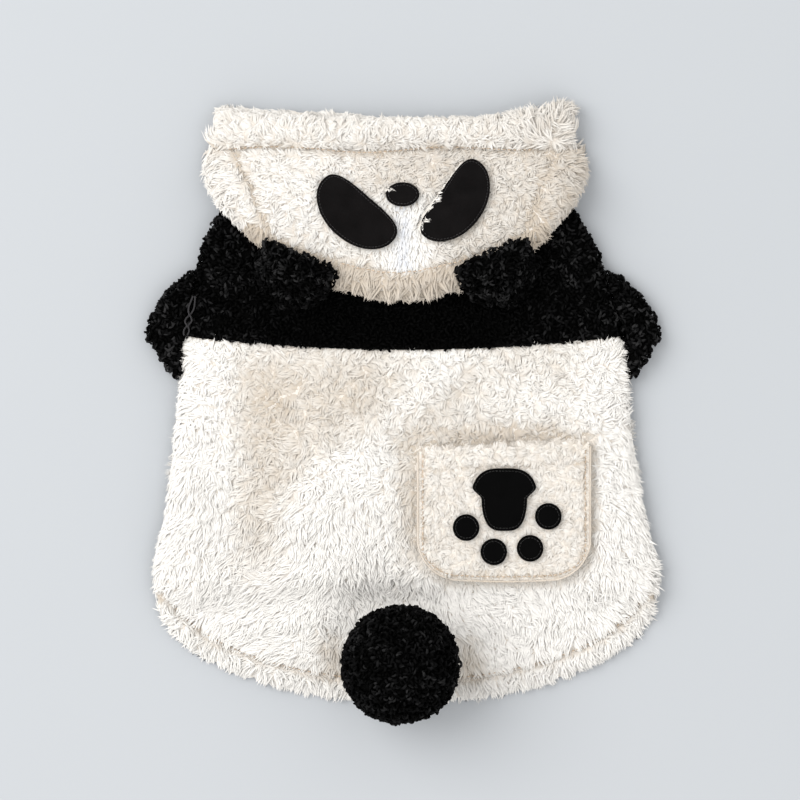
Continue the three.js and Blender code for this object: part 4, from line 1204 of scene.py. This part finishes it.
def makeBrim():
    w = np.concatenate([np.linspace(0, 1, 12), np.linspace(1, 2, 17)[1:], np.linspace(2, 3, 6)[1:]])
    w, u = np.meshgrid(w, np.linspace(-1, 1, 91))
    grid = facingOut(brimSkin(u, w, whitePile["depth"]))
    ends = [np.broadcast_to(grid[k].mean(axis=0), grid[:1].shape) for k in (0, -1)]
    closed = np.concatenate([ends[0], grid, ends[1]])
    cloth = standIn("hood_brim", "brim_cloth", closed, "whiteCloth", ring=True)
    fur = scatter(grid, whitePile["perArea"], 91, lambda x, y, z: z > 1.5)
    x, y, z = fur["at"].T
    f = (x - hood["centre"] + 1.6) / brim["half"]
    flareOut = np.sign(f) * smooth((np.abs(f) - 0.88) / 0.08) * 1.8
    fur["normal"] = unit(fur["normal"] + stack(flareOut, 0, 0))
    atEnd = smooth((np.abs(f) - 0.86) / 0.1)
    toSeam = smooth(1 - (y - hood["browY"]) / (6 + 6 * atEnd))
    upward = 0.9 * (1 - 0.7 * atEnd) - 2.2 * toSeam * (1 - 0.75 * atEnd)
    comb = stack(0.8 * f ** 5 + 1.6 * np.sign(f) * atEnd, upward, 0.25 * (z < 14))
    seam = browSeam(x, y, 1.8)
    style = {**whitePile, **hoodPile, "length": 5.0, "bend": 52, "swirl": 0.8, "swell": 0.25, "lift": 1.7}
    corner = brim["cornerFur"] * smooth((x - 52) / 26) * (1 - toSeam)
    length = (1 - 0.3 * seam) * (1 - 0.2 * atEnd + 2.1 * atEnd * toSeam + corner)
    # Painted shade along the brim's stitching and towards its right end, away from the lamp
    shade = brim["seamShade"] * seam + brim["farShade"] * smooth((x - 20) / 60)
    pile = growHair("brim_pile", fur, comb, style, 92, length=length, shade=shade)


# Ears: stuffed pouches sewn into the ear seam
ears = {
    "rootHalf": 24, "depth": 36, "loft": 10.5, "rim": 3, "clear": 0.5,
    "places": {"ear_left": (-58, 90.5, -23.5), "ear_right": (50, 91.5, 23.5)},
}


def earHalf(v):  # half the ear's width, from its root to its tip
    return ears["rootHalf"] * np.sqrt(1 - np.clip((v - 0.3) / 0.71, 0, 1) ** 2.2)


def insideEar(x, y):  # distance in from the outline of the nearer ear
    nearest = np.full(np.shape(x), -1e9)
    for x0, y0, degrees in ears["places"].values():
        turn = math.radians(degrees)
        across = (x - x0) * math.cos(turn) + (y - y0) * math.sin(turn)
        v = ((x - x0) * math.sin(turn) - (y - y0) * math.cos(turn)) / ears["depth"]
        inside = np.minimum(earHalf(np.clip(v, 0, 1)) - np.abs(across), v * ears["depth"])
        nearest = np.maximum(nearest, np.where(v < 1, inside, -1))
    return nearest


def earSkin(place, u, v, depth):
    # The pouch's upper and lower sheet: full in the middle and thin round its rim
    x0, y0, degrees = place
    turn = math.radians(degrees)
    across = np.maximum(earHalf(v) - depth * 0.8, 1.5) * u
    away = -ears["depth"] * mix(0.04, 0.92, v) * (1 - 0.1 * u * u)
    x = x0 + across * math.cos(turn) - away * math.sin(turn)
    y = y0 + across * math.sin(turn) + away * math.cos(turn)
    support = np.maximum(folded + ears["clear"], hoodTop(x, y) + 0.9)
    fullness = np.sqrt(1 - np.abs(u) ** 4) * np.sqrt(np.maximum(0, 1 - np.abs(2 * v - 1) ** 3))
    root = hoodTop(np.array(float(x0)), np.array(float(y0))) + 2
    rest = np.maximum(support, mix(root, folded + 2, smooth(v)) * fullness)
    z = rest + ears["rim"] + (ears["loft"] - ears["rim"]) * fullness - depth
    return stack(x, y, z), stack(x, y, np.minimum(support, z - 0.2))


def makeEars():
    for name, place in ears["places"].items():
        u, v = np.meshgrid(np.linspace(-1, 1, 25), np.linspace(0, 1, 22))
        upper, lower = earSkin(place, u, v, bouclePile["depth"])
        shell = facingOut(pouch(upper, lower))
        cloth = standIn(name, f"{name}_cloth", shell, "blackCloth", ring=True)
        fur = scatter(upper, bouclePile["perArea"] * 1.5, 101)
        fur["normal"] *= np.sign(fur["normal"][:, 2:])
        middle = np.mean(upper.reshape(-1, 3), axis=0) - np.array([0, 0, 14])
        fur["normal"] = unit(fur["normal"] + 1.1 * unit(fur["at"] - middle))
        changes = {"radius": 1.45, "width": 1.6, "clump": 4.5, "knob": 2.2, "shine": 1.15}
        pile = growCurls(f"{name}_pile", fur, changes, 102)


# The tail: a stuffed ball near the hem
tail = {"x": -1.5, "y": -146.5, "radius": 34.6, "lift": 38}


def makeTail():
    around, up = np.meshgrid(np.linspace(0, 2 * math.pi, 73), np.linspace(0, math.pi, 37))
    radius = tail["radius"] - bouclePile["depth"]
    x = tail["x"] + radius * np.sin(up) * np.cos(around)
    y = tail["y"] + radius * np.sin(up) * np.sin(around)
    z = tail["lift"] - radius * np.cos(up)
    floor = backTop(x, np.maximum(y, hemY(np.array(0.0)) + 8)) + 1
    grid = facingOut(stack(x, y, np.maximum(z, floor)))
    cloth = standIn("tail", "tail_cloth", grid[:, :-1], "blackCloth", ring=True)
    fur = scatter(grid, bouclePile["perArea"] * 1.1, 111, lambda x, y, z: z > 9)
    fur["normal"] = unit(fur["at"] - np.array([tail["x"], tail["y"], tail["lift"]]))
    pile = growCurls("tail_pile", fur, {"clump": 4.2, "knob": 1.9, "shine": 1.0}, 112)


# Felt shapes, with a rounded edge and a line of stitches inside it
felt = {
    "thickness": 1.3, "clear": {"hood": 0.1, "pocket": 0.2}, "stitchIn": 1.6, "pitch": 1.9,
    "stitch": 0.55,
}


def makeFelt():
    for name, shape in feltShapes.items():
        face = name in faceShapes
        top = hoodTop if face else pocketTop
        clear = felt["clear"]["hood" if face else "pocket"]
        angle = np.linspace(0, 2 * math.pi, 120, endpoint=False)
        ox, oy = feltOutline(shape, angle)
        size = np.maximum(np.hypot(ox, oy), 1)
        inward = np.array([99, 8, 5, 3, 2.2, 1.6, 1.0, 0.5, 0.15, 0, 0, 99])[:, None]
        lift = np.array([1, 1, 1, 1, 0.9, 0.55, 0.9, 0.85, 0.55, 0.3, -0.4, -0.4])[:, None]
        share = np.maximum(1 - inward / size, 0.5)
        share[[0, -1]] = 0
        x, y = shape["x"] + ox * share, shape["y"] + oy * share
        grid = facingOut(stack(x, y, top(x, y) + clear + felt["thickness"] * lift))
        piece = standIn(name, name + "_felt", grid, "faceFelt" if face else "pawFelt", ring=True)
        inner = 1 - felt["stitchIn"] / size
        x, y = shape["x"] + ox * inner, shape["y"] + oy * inner
        line = stack(x, y, top(x, y) + clear + 0.75 * felt["thickness"])
        line = np.concatenate([line, line[:1]])
        thread = "blackThread" if face else "pawThread"
        stitchPiece(name + "_stitches", line, felt["pitch"], felt["stitch"], thread)


# Threads: short stitches along a line, each a small lens-shaped lock
def stitchPiece(name, line, pitch, width, material):
    far = np.concatenate([[0], np.cumsum(np.linalg.norm(np.diff(line, axis=0), axis=-1))])
    count = int(far[-1] / pitch)
    at = (np.arange(count) + 0.12)[:, None] * pitch + np.linspace(0, 0.76 * pitch, 4)[None]
    path = np.stack([np.interp(at, far, line[:, k]) for k in range(3)], -1)
    path[..., 2] += 0.3 * np.sin(np.linspace(0, math.pi, 4))[None]
    width, tone = np.full(count, width), np.full(count, 0.5)
    lockPiece(name, material, path, width, tone, shape=(0.7, 1, 1))


seamThread = {"pitch": 3.0, "width": 0.7}


def makeSeamThreads():
    q = np.linspace(-0.99, 0.99, 240)
    y = hemY(q) + body["hemDepth"] / hemSlope(q)
    lines = {"hem": bodySkin(q, y, whitePile["depth"] - 2.1)}
    x = hood["centre"] + np.linspace(-97, 80, 120)
    y = hood["browY"] + browWave(x)
    lines["brow"] = stack(x, y, hoodTop(x, y - 2) - 1.9)
    g = hood["earSeam"] + 0.006 * waves(np.linspace(-40, 44, 60), 0, 16, 3)
    lines["nape"] = hoodSkin(np.linspace(-0.3, 0.36, 60), g, whitePile["depth"] - 2.2)
    lines["pocket"] = pocketPath(pocket["stitchIn"], 1.3)
    for name, line in lines.items():
        pitch, width = seamThread["pitch"], seamThread["width"]
        stitchPiece(f"{name}_thread", line, pitch, width, "beigeThread")


twist = {"topY": 66, "bottomY": 43, "pitch": 19, "reach": 1.6, "thickness": 0.9, "clear": 0.7}


def makeArmholeTwist():  # two threads wound round each other along the left armhole's seam
    y = np.linspace(twist["topY"], twist["bottomY"], 90)
    turn = (y - twist["bottomY"]) / twist["pitch"] * 2 * math.pi + 0.8 * np.sin(y / 4)
    reach = twist["reach"] * np.sin(np.linspace(0.1, 0.8, 90) * math.pi) + 0.3
    for strand, phase in enumerate((0, math.pi)):
        x = bodyEdge(-1, y) + 3.2 + reach * np.cos(turn + phase)
        under = np.maximum(backTop(x, y), sleeve["height"])
        z = under + twist["clear"] + 0.5 * np.sin(turn + phase)
        rope = facingOut(beadAlong(stack(x, y, z), twist["thickness"], 8))
        thread = gridPiece(f"armhole_twist_{strand + 1}", rope, "twistThread", ring=True)


def makeStage():
    bpy.ops.mesh.primitive_plane_add(size=8, location=(0, 0, 0))
    floor = bpy.context.object
    floor.name = "floor"
    n = Nodes("floor_paper", (0.468, 0.492, 0.525), 0.9, specular=0.1)
    stops = [(0.3, (0.458, 0.485, 0.518)), (0.7, (0.473, 0.498, 0.531))]
    n.feed("Base Color", n.ramp(n.noise(1.2, 2), stops))
    floor.data.materials.append(n.material)


lampColour = (1.0, 0.985, 0.96)
lamps = {  # place and target in metres, breadth in metres, power in watts
    "key": ((-1.9, 0.9, 2.4), (0, 0, 0), 2.7, 67),
    "fill": ((0.9, -1.0, 2.2), (0, -0.1, 0), 1.8, 7),
}


def makeLights():
    world = bpy.data.worlds.new("studio")
    bpy.context.scene.world = world
    world.use_nodes = True
    back = world.node_tree.nodes["Background"]
    back.inputs["Color"].default_value = (*lampColour, 1)
    back.inputs["Strength"].default_value = 1.0
    for name, (place, target, size, power) in lamps.items():
        lamp = bpy.data.lights.new(name, "AREA")
        lamp.shape, lamp.size, lamp.energy, lamp.color = "DISK", size, power, lampColour
        piece = bpy.data.objects.new(name, lamp)
        piece.location = place
        way = np.array(target) - np.array(place)
        piece.rotation_euler = Vector(way).to_track_quat("-Z", "Y").to_euler()
        bpy.context.scene.collection.objects.link(piece)


def makeCamera():
    # Straight down, with the picture's top towards the hood
    view = {"distance": 4.0, "width": 0.464, "x": -1.74, "y": 5.8, "level": 0.008}
    lens = bpy.data.cameras.new("camera")
    lens.sensor_width = 36
    lens.lens = 36 * (view["distance"] - view["level"]) / view["width"]
    lens.clip_end = 20
    camera = bpy.data.objects.new("camera", lens)
    camera.location = (view["x"] / 1000 + originShift[0], view["y"] / 1000 + originShift[1], view["distance"])
    bpy.context.scene.collection.objects.link(camera)
    bpy.context.scene.camera = camera
    bpy.context.scene.view_settings.view_transform = "Standard"


makeCamera()
makeLights()
makeStage()
makeBack()
makeYoke()
makeUnderside()
makePocket()
for side in (-1, 1):
    makeSleeve(side)
for name, places in hoodPlaces().items():
    makeHoodPanel(name, places)
makeBrim()
makeEars()
makeTail()
makeFelt()
makeSeamThreads()
makeArmholeTwist()
print("pile triangles", pileCount["triangles"])
